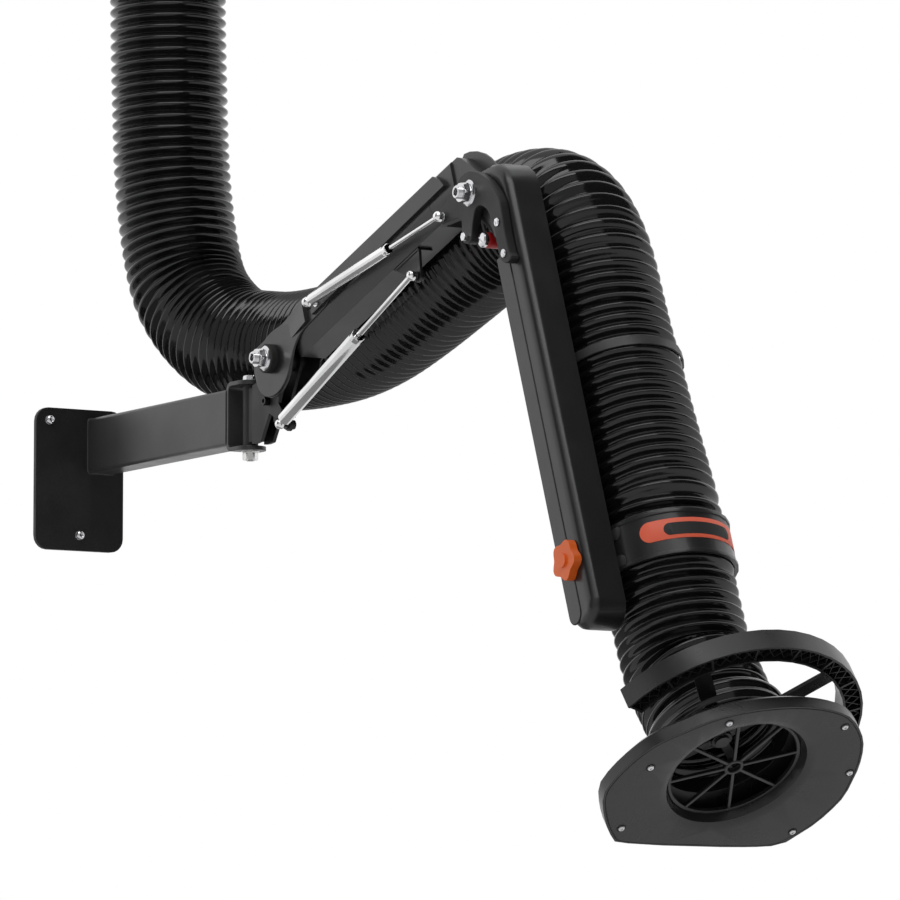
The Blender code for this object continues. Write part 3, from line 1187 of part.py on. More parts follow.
def collars():
    upper = in_plane(UPPER_PIVOT, 0)
    top = Vector(RISER_PATH[0])
    inner = around(HOSE_RADIUS, COLLAR_SIDES)
    outer = inner + DUCT_COLLAR_WALL
    low = -DUCT_COLLAR_LENGTH
    foot = block('duct_collar', (0, top.y - DUCT_FOOT_HALF, top.z + low),
                 (top.x, top.y + DUCT_FOOT_HALF, top.z), plan)
    join(foot, rod_shape('duct_collar_body', outer, low, 0, top, UP, COLLAR_SIDES))
    bore(foot, inner, low - OVERRUN, OVERRUN, top, UP, COLLAR_SIDES)
    paint(foot, BLACK_PAINT, DULL)

    centre = on_outer(COLLAR_POSITION, COLLAR_SIDE, HOSE_PLANE)
    half = COLLAR_LENGTH * HALF_SHARE
    outer = inner + COLLAR_WALL
    rim = outer + COLLAR_RIM
    profile = ((inner, -half), (rim, -half), (rim, -half + COLLAR_RIM_LENGTH),
               (outer, -half + COLLAR_RIM_LENGTH), (outer, half - COLLAR_RIM_LENGTH),
               (rim, half - COLLAR_RIM_LENGTH), (rim, half), (inner, half))
    collar = turned('hose_collar', profile, centre, ARM_DOWN, COLLAR_SIDES, ring=True)
    lug_side = COLLAR_SIDE + COLLAR_LUG_WIDTH
    lug_low = COLLAR_SIDE - COLLAR_LUG_WIDTH
    for label, start in (('a', BITE - half), ('b', half - COLLAR_LUG_LENGTH - BITE)):
        place = COLLAR_POSITION + start
        join(collar, block('collar_lug_' + label, (place, lug_low, OUTER_REAR),
                           (place + COLLAR_LUG_LENGTH, lug_side, HOSE_PLANE - inner - BITE), on_outer))
    paint(seat(collar, upper), BLACK_PAINT, SATIN)

    line = hose_path()
    travel = measured(line)
    target = on_outer(STRAP_POSITION, STRAP_SIDE, HOSE_PLANE)
    distance = travel_to(line, travel, lambda p: min((p - target).dot(ARM_DOWN), p.x - upper.x))
    centre, direction = at_distance(line, travel, distance)
    half = STRAP_LENGTH * HALF_SHARE
    outer = inner + STRAP_THICKNESS
    strap = turned('hose_strap', ((inner, -half), (outer, -half), (outer, half), (inner, half)),
                   centre, direction, COLLAR_SIDES, ring=True)
    join(strap, block('strap_foot', (STRAP_POSITION - half + BITE, STRAP_SIDE, OUTER_REAR),
                      (STRAP_POSITION + half - BITE, STRAP_SIDE + STRAP_FOOT_WIDTH,
                       HOSE_PLANE - inner - BITE), on_outer))
    across = direction.cross(DEPTH).normalized()
    outward = across * -math.sin(BUCKLE_ANGLE) - DEPTH * math.cos(BUCKLE_ANGLE)
    sideways = direction.cross(outward)

    def on_buckle(a, b, c):
        return centre + direction * a + sideways * b + outward * c

    join(strap, block('strap_buckle', (-half - BITE, -BUCKLE_HALF, inner + BITE),
                      (half + BITE, BUCKLE_HALF, outer + BUCKLE_HEIGHT), on_buckle))
    paint(seat(strap, upper), HOSE_BLACK, DULL)


def rim_radius(outline, turn):
    """Distance from the centre to an outline in a given direction."""
    way = Vector((math.cos(turn), math.sin(turn)))
    best = 0
    for i in range(len(outline)):
        first = Vector(outline[i - 1])
        edge = Vector(outline[i]) - first
        spread = way.x * edge.y - way.y * edge.x
        if spread == 0:
            continue
        share = (first.y * way.x - first.x * way.y) / -spread
        reach = (first.x * edge.y - first.y * edge.x) / spread
        if 0 <= share <= 1:
            best = max(best, reach)
    return best


def smooth_outline():
    """The rim of the hood as evenly turned points round its centre."""
    places = [Vector((a, b, 0)) for a, b in RIM_OUTLINE]
    count = len(places)
    line = []
    for i in range(count):
        before = places[i - 1]
        here = places[i]
        there = places[(i + 1) % count]
        after = places[(i + 2) % count]
        for k in range(HEX_SIDES):
            t = k / HEX_SIDES
            pull = (there - before) * HALF_SHARE
            push = (after - here) * HALF_SHARE
            point = here.lerp(there, t * t * (3 - 2 * t))
            point += pull * (t * (1 - t) ** 2) - push * (t * t * (1 - t))
            line.append((point.x, point.y))
    turns = [FULL_TURN * k / RIM_STEPS for k in range(RIM_STEPS)]
    return [(rim_radius(line, t), t) for t in turns]


def rim_ring(rim, share, amount, offset, base=0):
    """A ring between a round base and the rim, given by the share of the rim's reach."""
    ring = []
    for radius, t in rim:
        reach = base + (radius - base) * share - amount
        ring.append(on_hood(reach * math.cos(t), reach * math.sin(t), offset))
    return ring


def round_ring(radius, offset):
    turns = [FULL_TURN * k / RIM_STEPS for k in range(RIM_STEPS)]
    return [on_hood(radius * math.cos(t), radius * math.sin(t), offset) for t in turns]


def hood():
    neck_point = TILT_POINT
    rim = smooth_outline()
    bore_radius = around(HOSE_RADIUS, RIM_STEPS)
    seat_offset = FACE_OFFSET - FACE_THICKNESS
    rings = [round_ring(NECK_RADIUS, NECK_END), round_ring(NECK_RADIUS, NECK_FOOT),
             rim_ring(rim, FUNNEL_SHARE, 0, FUNNEL_OFFSET), rim_ring(rim, 1, 0, RIM_BACK),
             rim_ring(rim, 1, 0, FACE_OFFSET), rim_ring(rim, 1, RIM_WALL, FACE_OFFSET),
             rim_ring(rim, 1, RIM_WALL, RIM_BACK + BITE),
             rim_ring(rim, FUNNEL_SHARE, RIM_WALL, FUNNEL_OFFSET + RIM_WALL),
             round_ring(bore_radius, NECK_FOOT + RIM_WALL), round_ring(bore_radius, NECK_END)]
    shell = rings_solid('hood_shell', rings, closed=True)
    half = SPIDER_BAR_WIDTH * HALF_SHARE
    low = HOOD_HUB_OFFSET - SPIDER_THICKNESS * HALF_SHARE
    high = HOOD_HUB_OFFSET + SPIDER_THICKNESS * HALF_SHARE
    reach = bore_radius + BITE
    spokes(shell, SPIDER_COUNT, HOOD_HUB_RADIUS * HALF_SHARE, reach, half, low, high, on_hood)
    hub_half = HOOD_HUB_DEPTH * HALF_SHARE
    hub = HOOD_CENTRE + HOOD_NORMAL * HOOD_HUB_OFFSET
    join(shell, rod_shape('hood_hub', HOOD_HUB_RADIUS, -hub_half, hub_half, hub, HOOD_NORMAL))
    bore(shell, HOOD_STEM_RADIUS + FIT, -hub_half - OVERRUN, hub_half + OVERRUN, hub, HOOD_NORMAL)
    paint(seat(shell, neck_point), HOOD_BLACK, SATIN)

    rings = [rim_ring(rim, 1, RIM_WALL + FIT, FACE_OFFSET), round_ring(FACE_LAND_RADIUS, FACE_OFFSET),
             round_ring(FACE_LIP_RADIUS, FACE_LIP_OFFSET), round_ring(GRILLE_RADIUS + FIT, 0),
             round_ring(GRILLE_RADIUS + FIT, -GRILLE_DEPTH),
             round_ring(GRILLE_RADIUS + FACE_THICKNESS, -GRILLE_DEPTH),
             round_ring(FACE_LIP_RADIUS + FACE_THICKNESS, FACE_LIP_OFFSET - FACE_THICKNESS),
             round_ring(FACE_LAND_RADIUS + BITE, seat_offset),
             rim_ring(rim, 1, RIM_WALL + FIT, seat_offset)]
    plate = rings_solid('face_plate', rings, closed=True)
    for number, (across, rise) in enumerate(FACE_SCREWS, start=1):
        spot = on_hood(across, rise, 0)
        bore(plate, FACE_SCREW_SHANK + FIT, seat_offset - OVERRUN, FACE_OFFSET + OVERRUN, spot,
             HOOD_NORMAL, HOSE_SIDES)
        top = FACE_OFFSET + FACE_SCREW_HEIGHT
        profile = ((0, seat_offset), (FACE_SCREW_SHANK, seat_offset), (FACE_SCREW_SHANK, FACE_OFFSET),
                   (FACE_SCREW_RADIUS, FACE_OFFSET),
                   (FACE_SCREW_RADIUS, FACE_OFFSET + FACE_SCREW_HEIGHT * HALF_SHARE),
                   (FACE_SCREW_RADIUS * HALF_SHARE, top), (0, top))
        screw = turned('face_screw_' + str(number), profile, spot, HOOD_NORMAL, HOSE_SIDES)
        paint(seat(screw, neck_point), BRIGHT, SATIN, 1)
    paint(seat(plate, neck_point), HOOD_BLACK, SATIN)

    inner = GRILLE_RADIUS - GRILLE_RIM
    grille = turned('grille', ((inner, -GRILLE_DEPTH), (GRILLE_RADIUS, -GRILLE_DEPTH),
                               (GRILLE_RADIUS, 0), (inner, 0)), HOOD_CENTRE, HOOD_NORMAL, RIM_STEPS,
                    ring=True)
    spokes(grille, SPOKE_COUNT, HUB_RADIUS * HALF_SHARE, inner + BITE, SPOKE_WIDTH * HALF_SHARE,
           BITE - GRILLE_DEPTH, -BITE * HALF_SHARE, on_hood)
    join(grille, rod_shape('grille_hub', HUB_RADIUS, -GRILLE_DEPTH - BITE, BITE, HOOD_CENTRE,
                           HOOD_NORMAL, HOSE_SIDES))
    paint(seat(grille, neck_point), HOOD_BLACK, SATIN)


def handle_ring():
    neck_point = TILT_POINT
    wall = RING_WALL
    section = ((RING_OUTER, RING_NEAR), (RING_OUTER, RING_FAR), (RING_INNER, RING_FAR),
               (RING_INNER, RING_NEAR), (RING_INNER + wall, RING_NEAR),
               (RING_INNER + wall, RING_FAR + wall), (RING_OUTER - wall, RING_FAR + wall),
               (RING_OUTER - wall, RING_NEAR))
    rings = []
    for k in range(RING_STEPS + 1):
        t = RING_START + (RING_END - RING_START) * k / RING_STEPS
        rings.append([on_hood(r * math.cos(t), r * math.sin(t), offset) for r, offset in section])
    ring = rings_solid('handle_ring', rings)
    for k in range(RING_WEB_COUNT + 1):
        t = RING_START + (RING_END - RING_START) * k / RING_WEB_COUNT
        way = Vector((math.cos(t), math.sin(t)))
        inner = way * (RING_INNER + wall - BITE)
        outer = way * (RING_OUTER - wall + BITE)
        ways = Vector((-way.y, way.x)) * wall
        if k == RING_WEB_COUNT:
            ways = -ways
        corners = (inner, outer, outer + ways, inner + ways)
        join(ring, prism('ring_web_' + str(k), [tuple(p) for p in corners], RING_NEAR - BITE,
                         RING_FAR + wall - BITE, on_hood))
    for number, t in enumerate(STRUT_ANGLES):
        way = Vector((math.cos(t), math.sin(t)))
        across = Vector((-way.y, way.x)) * STRUT_HALF_WIDTH
        inner = way * (NECK_RADIUS + FIT)
        outer = way * (RING_INNER + BITE)
        corners = (inner + across, inner - across, outer - across, outer + across)
        join(ring, prism('ring_strut_' + str(number), [tuple(p) for p in corners], STRUT_OFFSET,
                         STRUT_OFFSET - STRUT_THICKNESS, on_hood))
    band = turned('ring_band', ((NECK_RADIUS + FIT, STRUT_OFFSET),
                                (NECK_RADIUS + RING_WALL, STRUT_OFFSET),
                                (NECK_RADIUS + RING_WALL, STRUT_OFFSET - STRUT_THICKNESS),
                                (NECK_RADIUS + FIT, STRUT_OFFSET - STRUT_THICKNESS)), HOOD_CENTRE,
                  HOOD_NORMAL, RIM_STEPS, ring=True)
    join(ring, band)
    paint(seat(ring, neck_point), HOOD_BLACK, SATIN)


def tilting_joint():
    upper = in_plane(UPPER_PIVOT, 0)
    centre = on_outer(COLLAR_POSITION, COLLAR_SIDE, HOSE_PLANE)
    half = SPIDER_THICKNESS * HALF_SHARE
    spider = turned('tilt_bracket', ((SPIDER_RING_INNER, -half), (HOSE_RADIUS, -half),
                                     (HOSE_RADIUS, half), (SPIDER_RING_INNER, half)), centre,
                    ARM_DOWN, COLLAR_SIDES, ring=True)

    def on_spider(a, b, c):
        return on_outer(COLLAR_POSITION + c, COLLAR_SIDE + a, HOSE_PLANE + b)

    bar = half - FIT
    spokes(spider, SPIDER_COUNT, HOOD_HUB_RADIUS * HALF_SHARE, SPIDER_RING_INNER + BITE,
           SPIDER_BAR_WIDTH * HALF_SHARE, -bar, bar, on_spider)
    join(spider, rod_shape('tilt_hub', HOOD_HUB_RADIUS, -half, half, centre, ARM_DOWN))
    thick = TILT_BAR_THICKNESS * HALF_SHARE
    wide = TILT_BAR_WIDTH * HALF_SHARE
    way = (TILT_POINT - centre).normalized()
    cross = Vector((-way.z, 0, way.x)) * wide
    ends = (centre + cross, centre - cross, TILT_POINT - cross, TILT_POINT + cross)
    join(spider, prism('tilt_stem', [(p.x, p.z) for p in ends], HOSE_PLANE - thick,
                       HOSE_PLANE + thick, side))
    join(spider, rod_shape('tilt_eye', TILT_EYE_RADIUS, -thick, thick, TILT_POINT, DEPTH))
    bore(spider, TILT_PIN_RADIUS + FIT, -thick - OVERRUN, thick + OVERRUN, TILT_POINT, DEPTH)
    paint(seat(spider, upper), BLACK_PAINT, DULL)

    link = rod_shape('tilt_link', TILT_PIN_RADIUS, -thick - TILT_FORK_THICKNESS,
                     thick + TILT_FORK_THICKNESS, TILT_POINT, DEPTH)
    down = HOOD_NORMAL
    cross = Vector((-down.z, 0, down.x)) * wide
    foot = TILT_POINT + down * (TILT_STEM_START + TILT_FORK_THICKNESS)
    ends = (TILT_POINT + cross, TILT_POINT - cross, foot - cross, foot + cross)
    for label, low in (('a', -thick - FIT - TILT_FORK_THICKNESS), ('b', thick + FIT)):
        join(link, prism('tilt_fork_' + label, [(p.x, p.z) for p in ends], HOSE_PLANE + low,
                         HOSE_PLANE + low + TILT_FORK_THICKNESS, side))
    tie = (foot + cross, foot - cross, foot - cross - down * TILT_FORK_THICKNESS,
           foot + cross - down * TILT_FORK_THICKNESS)
    span = thick + FIT + TILT_FORK_THICKNESS
    join(link, prism('tilt_tie', [(p.x, p.z) for p in tie], HOSE_PLANE - span, HOSE_PLANE + span, side))
    top = TILT_STEM_START + BITE
    hub_low = HOOD_HUB_OFFSET - TILT_OFFSET - HOOD_HUB_DEPTH * HALF_SHARE - FIT
    hub_high = HOOD_HUB_OFFSET - TILT_OFFSET + HOOD_HUB_DEPTH * HALF_SHARE + FIT
    flange = HOOD_STEM_FLANGE
    height = HOOD_STEM_FLANGE_HEIGHT
    profile = ((0, top), (HOOD_STEM_RADIUS, top), (HOOD_STEM_RADIUS, hub_low - height),
               (flange, hub_low - height), (flange, hub_low), (HOOD_STEM_RADIUS, hub_low),
               (HOOD_STEM_RADIUS, hub_high), (flange, hub_high), (flange, hub_high + height),
               (0, hub_high + height))
    join(link, turned('tilt_link_stem', profile, TILT_POINT, HOOD_NORMAL, SMALL_SIDES))
    paint(seat(link, TILT_POINT), BLACK_PAINT, DULL)


def build():
    clear_scene()
    wall_bracket()
    swivel()
    springs()
    inner_arm()
    outer_arm()
    hose()
    collars()
    hood()
    handle_ring()
    tilting_joint()


build()
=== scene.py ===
"""Dresses the wall-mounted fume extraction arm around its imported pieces.

Metres, +Z up. X runs out from the wall, Y along the wall. Each section makes one piece or a
group of like pieces, in the order in which the arm is put together.
"""
import math

import bmesh
import bpy
from mathutils import Matrix, Vector


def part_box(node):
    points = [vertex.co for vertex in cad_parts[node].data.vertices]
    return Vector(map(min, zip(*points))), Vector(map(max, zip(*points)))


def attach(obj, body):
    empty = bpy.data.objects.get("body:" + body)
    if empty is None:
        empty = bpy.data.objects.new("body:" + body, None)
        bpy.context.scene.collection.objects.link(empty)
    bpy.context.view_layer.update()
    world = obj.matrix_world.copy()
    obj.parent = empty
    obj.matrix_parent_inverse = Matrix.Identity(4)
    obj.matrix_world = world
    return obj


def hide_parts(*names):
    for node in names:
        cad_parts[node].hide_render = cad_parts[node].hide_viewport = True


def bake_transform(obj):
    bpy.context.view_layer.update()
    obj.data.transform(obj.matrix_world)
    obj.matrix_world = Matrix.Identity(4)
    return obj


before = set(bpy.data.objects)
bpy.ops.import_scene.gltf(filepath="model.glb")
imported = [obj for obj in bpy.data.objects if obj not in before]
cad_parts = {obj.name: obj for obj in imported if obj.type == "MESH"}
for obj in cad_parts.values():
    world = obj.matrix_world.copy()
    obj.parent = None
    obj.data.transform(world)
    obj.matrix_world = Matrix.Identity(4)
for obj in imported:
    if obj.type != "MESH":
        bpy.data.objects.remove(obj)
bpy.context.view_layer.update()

# The view and the studio. One long lens looks slightly up at the arm from its outer end. The room
# is white, with a dim front, a bright panel high above it and dark gaps beside both. Under the arm
# lies a pale floor, with a dim disc over it near the wall that only shows in reflections.
LENS = 250
SENSOR = 36
EYE = Vector((8.0573, -4.1865, -1.0048))
VIEW_RIGHT = Vector((0.5105, 0.8599, 0))
VIEW_UP = Vector((0.0944, -0.0560, 0.9940))
VIEW_BACK = Vector((0.8547, -0.5074, -0.1097))
FLOOR_LEVEL = -1.35
FLOOR_HALF = 40
FLOOR_TONE = 0.80
ROOM_TONE = 1.0
ROOM_CENTRE = Vector((1.0, 0, 0))
ROOM_RADIUS = 12.5
ROOM_STEPS = 48
LEFT_GAP_END = math.radians(68)
RIGHT_GAP_END = math.radians(104)
FRONT_HALF_ANGLE = math.radians(37)
FRONT_TOP = math.radians(31)
HIGH_PANEL = (math.radians(40), math.radians(63))
GAP_LIGHT = 0.05
FRONT_LIGHT = 0.42
HIGH_LIGHT = 3.4
LOW_LIGHT = 0.22
LOW_LIFT = 0.02
LOW_RADIUS = 1.3
LOW_CENTRE = Vector((-0.5, -0.3, FLOOR_LEVEL + LOW_LIFT))

camera_data = bpy.data.cameras.new('view')
camera_data.lens = LENS
camera_data.sensor_width = SENSOR
camera_data.clip_end = 100
camera = bpy.data.objects.new('view', camera_data)
turn = Matrix((VIEW_RIGHT, VIEW_UP, VIEW_BACK)).transposed().to_4x4()
camera.matrix_world = Matrix.Translation(EYE) @ turn
bpy.context.scene.collection.objects.link(camera)
bpy.context.scene.camera = camera
bpy.context.scene.view_settings.view_transform = 'Standard'


def piece_of(name, points, faces, edges=()):
    """A mesh object with its place in its mesh."""
    mesh = bpy.data.meshes.new(name)
    mesh.from_pydata([tuple(p) for p in points], edges, faces)
    mesh.update()
    thing = bpy.data.objects.new(name, mesh)
    bpy.context.scene.collection.objects.link(thing)
    return thing


def node(tree, kind, **values):
    """Add a node and set its properties."""
    made = tree.nodes.new(kind)
    for key, value in values.items():
        setattr(made, key, value)
    return made


def wire(tree, *pairs):
    """Link each output to its input."""
    for given, taken in pairs:
        tree.links.new(given, taken)


def add_socket(tree, name, kind, side='INPUT'):
    """Give a node group a named socket."""
    tree.interface.new_socket(name=name, in_out=side, socket_type='NodeSocket' + kind)


def plain_light(name, strength):
    """A look that gives off an even light."""
    look = bpy.data.materials.new(name)
    look.use_nodes = True
    look.node_tree.nodes.clear()
    light = node(look.node_tree, 'ShaderNodeEmission')
    light.inputs['Strength'].default_value = strength
    out = node(look.node_tree, 'ShaderNodeOutputMaterial')
    look.node_tree.links.new(light.outputs[0], out.inputs[0])
    return look


floor = piece_of('floor', [(FLOOR_HALF * x, FLOOR_HALF * y, FLOOR_LEVEL)
                           for x, y in ((-1, -1), (1, -1), (1, 1), (-1, 1))], [(0, 1, 2, 3)])
floor_look = bpy.data.materials.new('pale_floor')
floor_look.use_nodes = True
floor_shader = floor_look.node_tree.nodes['Principled BSDF']
floor_shader.inputs['Base Color'].default_value = (FLOOR_TONE, FLOOR_TONE, FLOOR_TONE, 1)
floor_shader.inputs['Roughness'].default_value = 0.9
floor_shader.inputs['Specular IOR Level'].default_value = 0
floor.data.materials.append(floor_look)


def light_card(name, points, faces, strength):
    """A card that the camera doesn't see."""
    made = piece_of(name, points, faces)
    made.data.materials.append(plain_light(name, strength))
    made.visible_camera = False
    return made


def card(name, start, end, low, high, strength):
    """Part of the studio's round front, between two bearings and two heights of view."""
    count = max(2, round(ROOM_STEPS * abs(end - start) / math.pi))
    facing = math.atan2(VIEW_BACK.y, VIEW_BACK.x)
    points = []
    for k in range(count + 1):
        bearing = facing + start + (end - start) * k / count
        spot = ROOM_CENTRE + Vector((math.cos(bearing), math.sin(bearing), 0)) * ROOM_RADIUS
        points += [spot + Vector((0, 0, low)), spot + Vector((0, 0, high))]
    faces = [(2 * k, 2 * k + 2, 2 * k + 3, 2 * k + 1) for k in range(count)]
    light_card(name, points, faces, strength)


def rise(angle):
    """How high the round front stands at an angle of view."""
    return ROOM_RADIUS * math.tan(angle)


top = rise(HIGH_PANEL[1])
inner = FRONT_HALF_ANGLE
card('front_card', -inner, inner, FLOOR_LEVEL, rise(FRONT_TOP), FRONT_LIGHT)
card('gap_above_front', -inner, inner, rise(FRONT_TOP), rise(HIGH_PANEL[0]), GAP_LIGHT)
card('high_card', -inner, inner, rise(HIGH_PANEL[0]), top, HIGH_LIGHT)
card('left_gap', -LEFT_GAP_END, -inner, FLOOR_LEVEL, top, GAP_LIGHT)
card('right_gap', inner, RIGHT_GAP_END, FLOOR_LEVEL, top, GAP_LIGHT)
turns = [math.tau * k / ROOM_STEPS for k in range(ROOM_STEPS)]
low_card = light_card('low_card', [LOW_CENTRE + Vector((math.cos(t), math.sin(t), 0)) * LOW_RADIUS
                                   for t in turns], [tuple(range(ROOM_STEPS))], LOW_LIGHT)
low_card.visible_diffuse = False
low_card.visible_shadow = False

room = bpy.data.worlds.new('white_room')
bpy.context.scene.world = room
room.use_nodes = True
room_tree = room.node_tree
room_tree.nodes.clear()
ray = node(room_tree, 'ShaderNodeLightPath')
room_light = node(room_tree, 'ShaderNodeBackground')
room_light.inputs['Strength'].default_value = ROOM_TONE
room_white = node(room_tree, 'ShaderNodeBackground')
room_mix = node(room_tree, 'ShaderNodeMixShader')
room_out = node(room_tree, 'ShaderNodeOutputWorld')
wire(room_tree, (ray.outputs['Is Camera Ray'], room_mix.inputs[0]),
     (room_light.outputs[0], room_mix.inputs[1]), (room_white.outputs[0], room_mix.inputs[2]),
     (room_mix.outputs[0], room_out.inputs[0]))
for shade in (room_light, room_white):
    shade.inputs['Color'].default_value = (1, 1, 1, 1)

# Wall plate: a flat steel plate with round corners, cut from sheet and powder coated black. Three
# bolts hold it to the wall. Its finish has the faint orange peel of baked powder.
PLATE_EDGE = 0.0012
BLACK = (0.0050, 0.0050, 0.0052)
POWDER_ROUGH = 0.50
POWDER_SIZE = 420
POWDER_DEPTH = 0.00006


def mask_group(name, detail):
    """Noise as a mask from 0 to 1, for grain, mottling and peel."""
    group = bpy.data.node_groups.new(name, 'ShaderNodeTree')
    for title in ('Size', 'Low', 'High'):
        add_socket(group, title, 'Float')
    add_socket(group, 'Value', 'Float', 'OUTPUT')
    given = node(group, 'NodeGroupInput')
    place = node(group, 'ShaderNodeTexCoord')
    noise = node(group, 'ShaderNodeTexNoise')
    noise.inputs['Detail'].default_value = detail
    spread = node(group, 'ShaderNodeMapRange')
    spread.inputs['From Min'].default_value = 0.3
    spread.inputs['From Max'].default_value = 0.7
    out = node(group, 'NodeGroupOutput')
    wire(group, (place.outputs['Object'], noise.inputs['Vector']),
         (given.outputs['Size'], noise.inputs['Scale']), (noise.outputs[0], spread.inputs['Value']),
         (given.outputs['Low'], spread.inputs['To Min']), (given.outputs['High'], spread.inputs['To Max']),
         (spread.outputs[0], out.inputs[0]))
    return group


grain_mask = mask_group('fine_grain', 3)
cloud_mask = mask_group('cloudy_sheen', 2)


def masked(tree, group, size, low, high):
    """Place a mask group with its own values."""
    made = node(tree, 'ShaderNodeGroup', node_tree=group)
    made.inputs['Size'].default_value = size
    made.inputs['Low'].default_value = low
    made.inputs['High'].default_value = high
    return made.outputs['Value']


def finish(name, colour, rough, grain_size, grain_depth, metallic=0, cloud=0.12, tone=0.12, coat=0):
    """A finish with a grain in its surface and a slightly uneven sheen and tone."""
    look = bpy.data.materials.new(name)
    look.use_nodes = True
    tree = look.node_tree
    shader = tree.nodes['Principled BSDF']
    shader.inputs['Metallic'].default_value = metallic
    shader.inputs['Coat Weight'].default_value = coat
    shader.inputs['Coat Roughness'].default_value = 0.08
    sheen = masked(tree, cloud_mask, 22, rough * (1 - cloud), rough * (1 + cloud))
    tree.links.new(sheen, shader.inputs['Roughness'])
    shade = masked(tree, cloud_mask, 9, 1 - tone, 1 + tone)
    scale = node(tree, 'ShaderNodeVectorMath', operation='SCALE')
    scale.inputs[0].default_value = colour
    wire(tree, (shade, scale.inputs['Scale']), (scale.outputs[0], shader.inputs['Base Color']))
    bump = node(tree, 'ShaderNodeBump')
    bump.inputs['Distance'].default_value = grain_depth
    bump.inputs['Strength'].default_value = 1
    wire(tree, (masked(tree, grain_mask, grain_size, 0, 1), bump.inputs['Height']),
         (bump.outputs[0], shader.inputs['Normal']))
    return look


powder_coat = finish('powder_coat', BLACK, POWDER_ROUGH, POWDER_SIZE, POWDER_DEPTH)
SHARP_TURN = math.radians(38)
FLAT_TURN = math.radians(2)


def settle(thing, look, body, slot, *nodes):
    """Give a finished piece its finish and its body, and hide the solids that it stands for. The slot is
    not used.
    """
    thing.data.materials.clear()
    thing.data.materials.append(look)
    if not thing.data.has_custom_normals:
        thing.data.shade_smooth()
        thing.data.set_sharp_from_angle(angle=SHARP_TURN)
    if nodes:
        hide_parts(*nodes)
    if body:
        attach(thing, body)
    return thing


def made_plain(thing):
    """Turn a piece and its modifiers into a plain mesh."""
    bpy.context.view_layer.update()
    graph = bpy.context.evaluated_depsgraph_get()
    mesh = bpy.data.meshes.new_from_object(thing.evaluated_get(graph))
    thing.modifiers.clear()
    old = thing.data
    thing.data = mesh
    if old.users == 0:
        bpy.data.meshes.remove(old)
    mesh.name = thing.name
    return thing


def bevelled(thing, edge, segments):
    """Round a piece's edges and keep its flats flat."""
    thing.data.shade_smooth()
    bevel = thing.modifiers.new('edges', 'BEVEL')
    bevel.width = edge
    bevel.segments = segments
    bevel.limit_method = 'ANGLE'
    bevel.angle_limit = SHARP_TURN
    thing.modifiers.new('triangles', 'TRIANGULATE').keep_custom_normals = True
    thing.modifiers.new('flat_faces', 'WEIGHTED_NORMAL').weight = 100
    return made_plain(thing)


def dress(source, look, body, slot, edge, segments=2, name=None):
    """Dress a solid in a copy of itself, its edges rounded as paint and forming leave them."""
    thing = bpy.data.objects.new(name or source + '_dressed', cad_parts[source].data.copy())
    bpy.context.scene.collection.objects.link(thing)
    thing.data.materials.clear()
    work = bmesh.new()
    work.from_mesh(thing.data)
    bmesh.ops.remove_doubles(work, verts=work.verts[:], dist=0.00002)
    bmesh.ops.dissolve_limit(work, angle_limit=FLAT_TURN, verts=work.verts[:], edges=work.edges[:])
    work.to_mesh(thing.data)
    work.free()
    return settle(bevelled(thing, edge, segments), look, body, slot, source)


dress('wall_plate', powder_coat, 'bracket', 'black_paint', PLATE_EDGE, name='plate_dressed')

# Wall bolts: bright plated button heads with a hexagon socket, each on a thin washer. They are one
# form, set out on three places of the plate.
PLATE_FACE = 0.008
PLATED = (0.72, 0.72, 0.74)
bright_plating = finish('bright_plating', PLATED, 0.16, 900, 0.00001, metallic=1, cloud=0.3, tone=0.05)


def outward(thing):
    """Turn the faces of a closed piece outwards."""
    work = bmesh.new()
    work.from_mesh(thing.data)
    bmesh.ops.remove_doubles(work, verts=work.verts[:], dist=0.000005)
    bmesh.ops.recalc_face_normals(work, faces=work.faces[:])
    work.to_mesh(thing.data)
    work.free()
    return thing


def skin(name, rows, closed=False, caps=()):
    """A body through rings of points: a loop when closed, with flat caps on the rings named."""
    count = len(rows[0])
    faces = [tuple(range(k * count, k * count + count)) for k in caps]
    for k in range(len(rows) if closed else len(rows) - 1):
        here, there = k * count, (k + 1) % len(rows) * count
        for i in range(count):
            j = (i + 1) % count
            faces.append((here + i, here + j, there + j, there + i))
    return outward(piece_of(name, [p for row in rows for p in row], faces))


def lathe(name, profile, start, way, sides, **ends):
    """A turned body. The profile holds a radius and a distance along the way, and where the body
    isn't round, also a function that says how much of the radius it reaches at an angle."""
    axis = Vector(way).normalized()
    helper = Vector((0, 1, 0)) if abs(axis.z) > 0.5 else Vector((0, 0, 1))
    across = axis.cross(helper).normalized()
    other = axis.cross(across)
    rows = []
    for radius, distance, *share in profile:
        row = []
        for k in range(sides):
            t = math.tau * k / sides
            reach = radius * share[0](t) if share else radius
            row.append(Vector(start) + axis * distance + across * (reach * math.cos(t)) +
                       other * (reach * math.sin(t)))
        rows.append(row)
    return skin(name, rows, **ends)


def joined(name, things):
    """Several meshes as one piece."""
    work = bmesh.new()
    for thing in things:
        work.from_mesh(thing.data)
        bpy.data.objects.remove(thing)
    made = piece_of(name, [], [])
    work.to_mesh(made.data)
    work.free()
    return made


def geometry_tree(name, **inputs):
    """A geometry tree with named inputs, and the node that gives them."""
    tree = bpy.data.node_groups.new(name, 'GeometryNodeTree')
    for title, kind in {'Geometry': 'Geometry', **inputs}.items():
        add_socket(tree, title, kind)
    add_socket(tree, 'Geometry', 'Geometry', 'OUTPUT')
    return tree, node(tree, 'NodeGroupInput')


def grow(thing, tree, **values):
    """Put a geometry tree on a piece, its inputs set by their identifiers."""
    change = thing.modifiers.new(tree.name, 'NODES')
    change.node_group = tree
    for socket in tree.interface.items_tree:
        if socket.name in values:
            change[socket.identifier] = values[socket.name]
    return thing


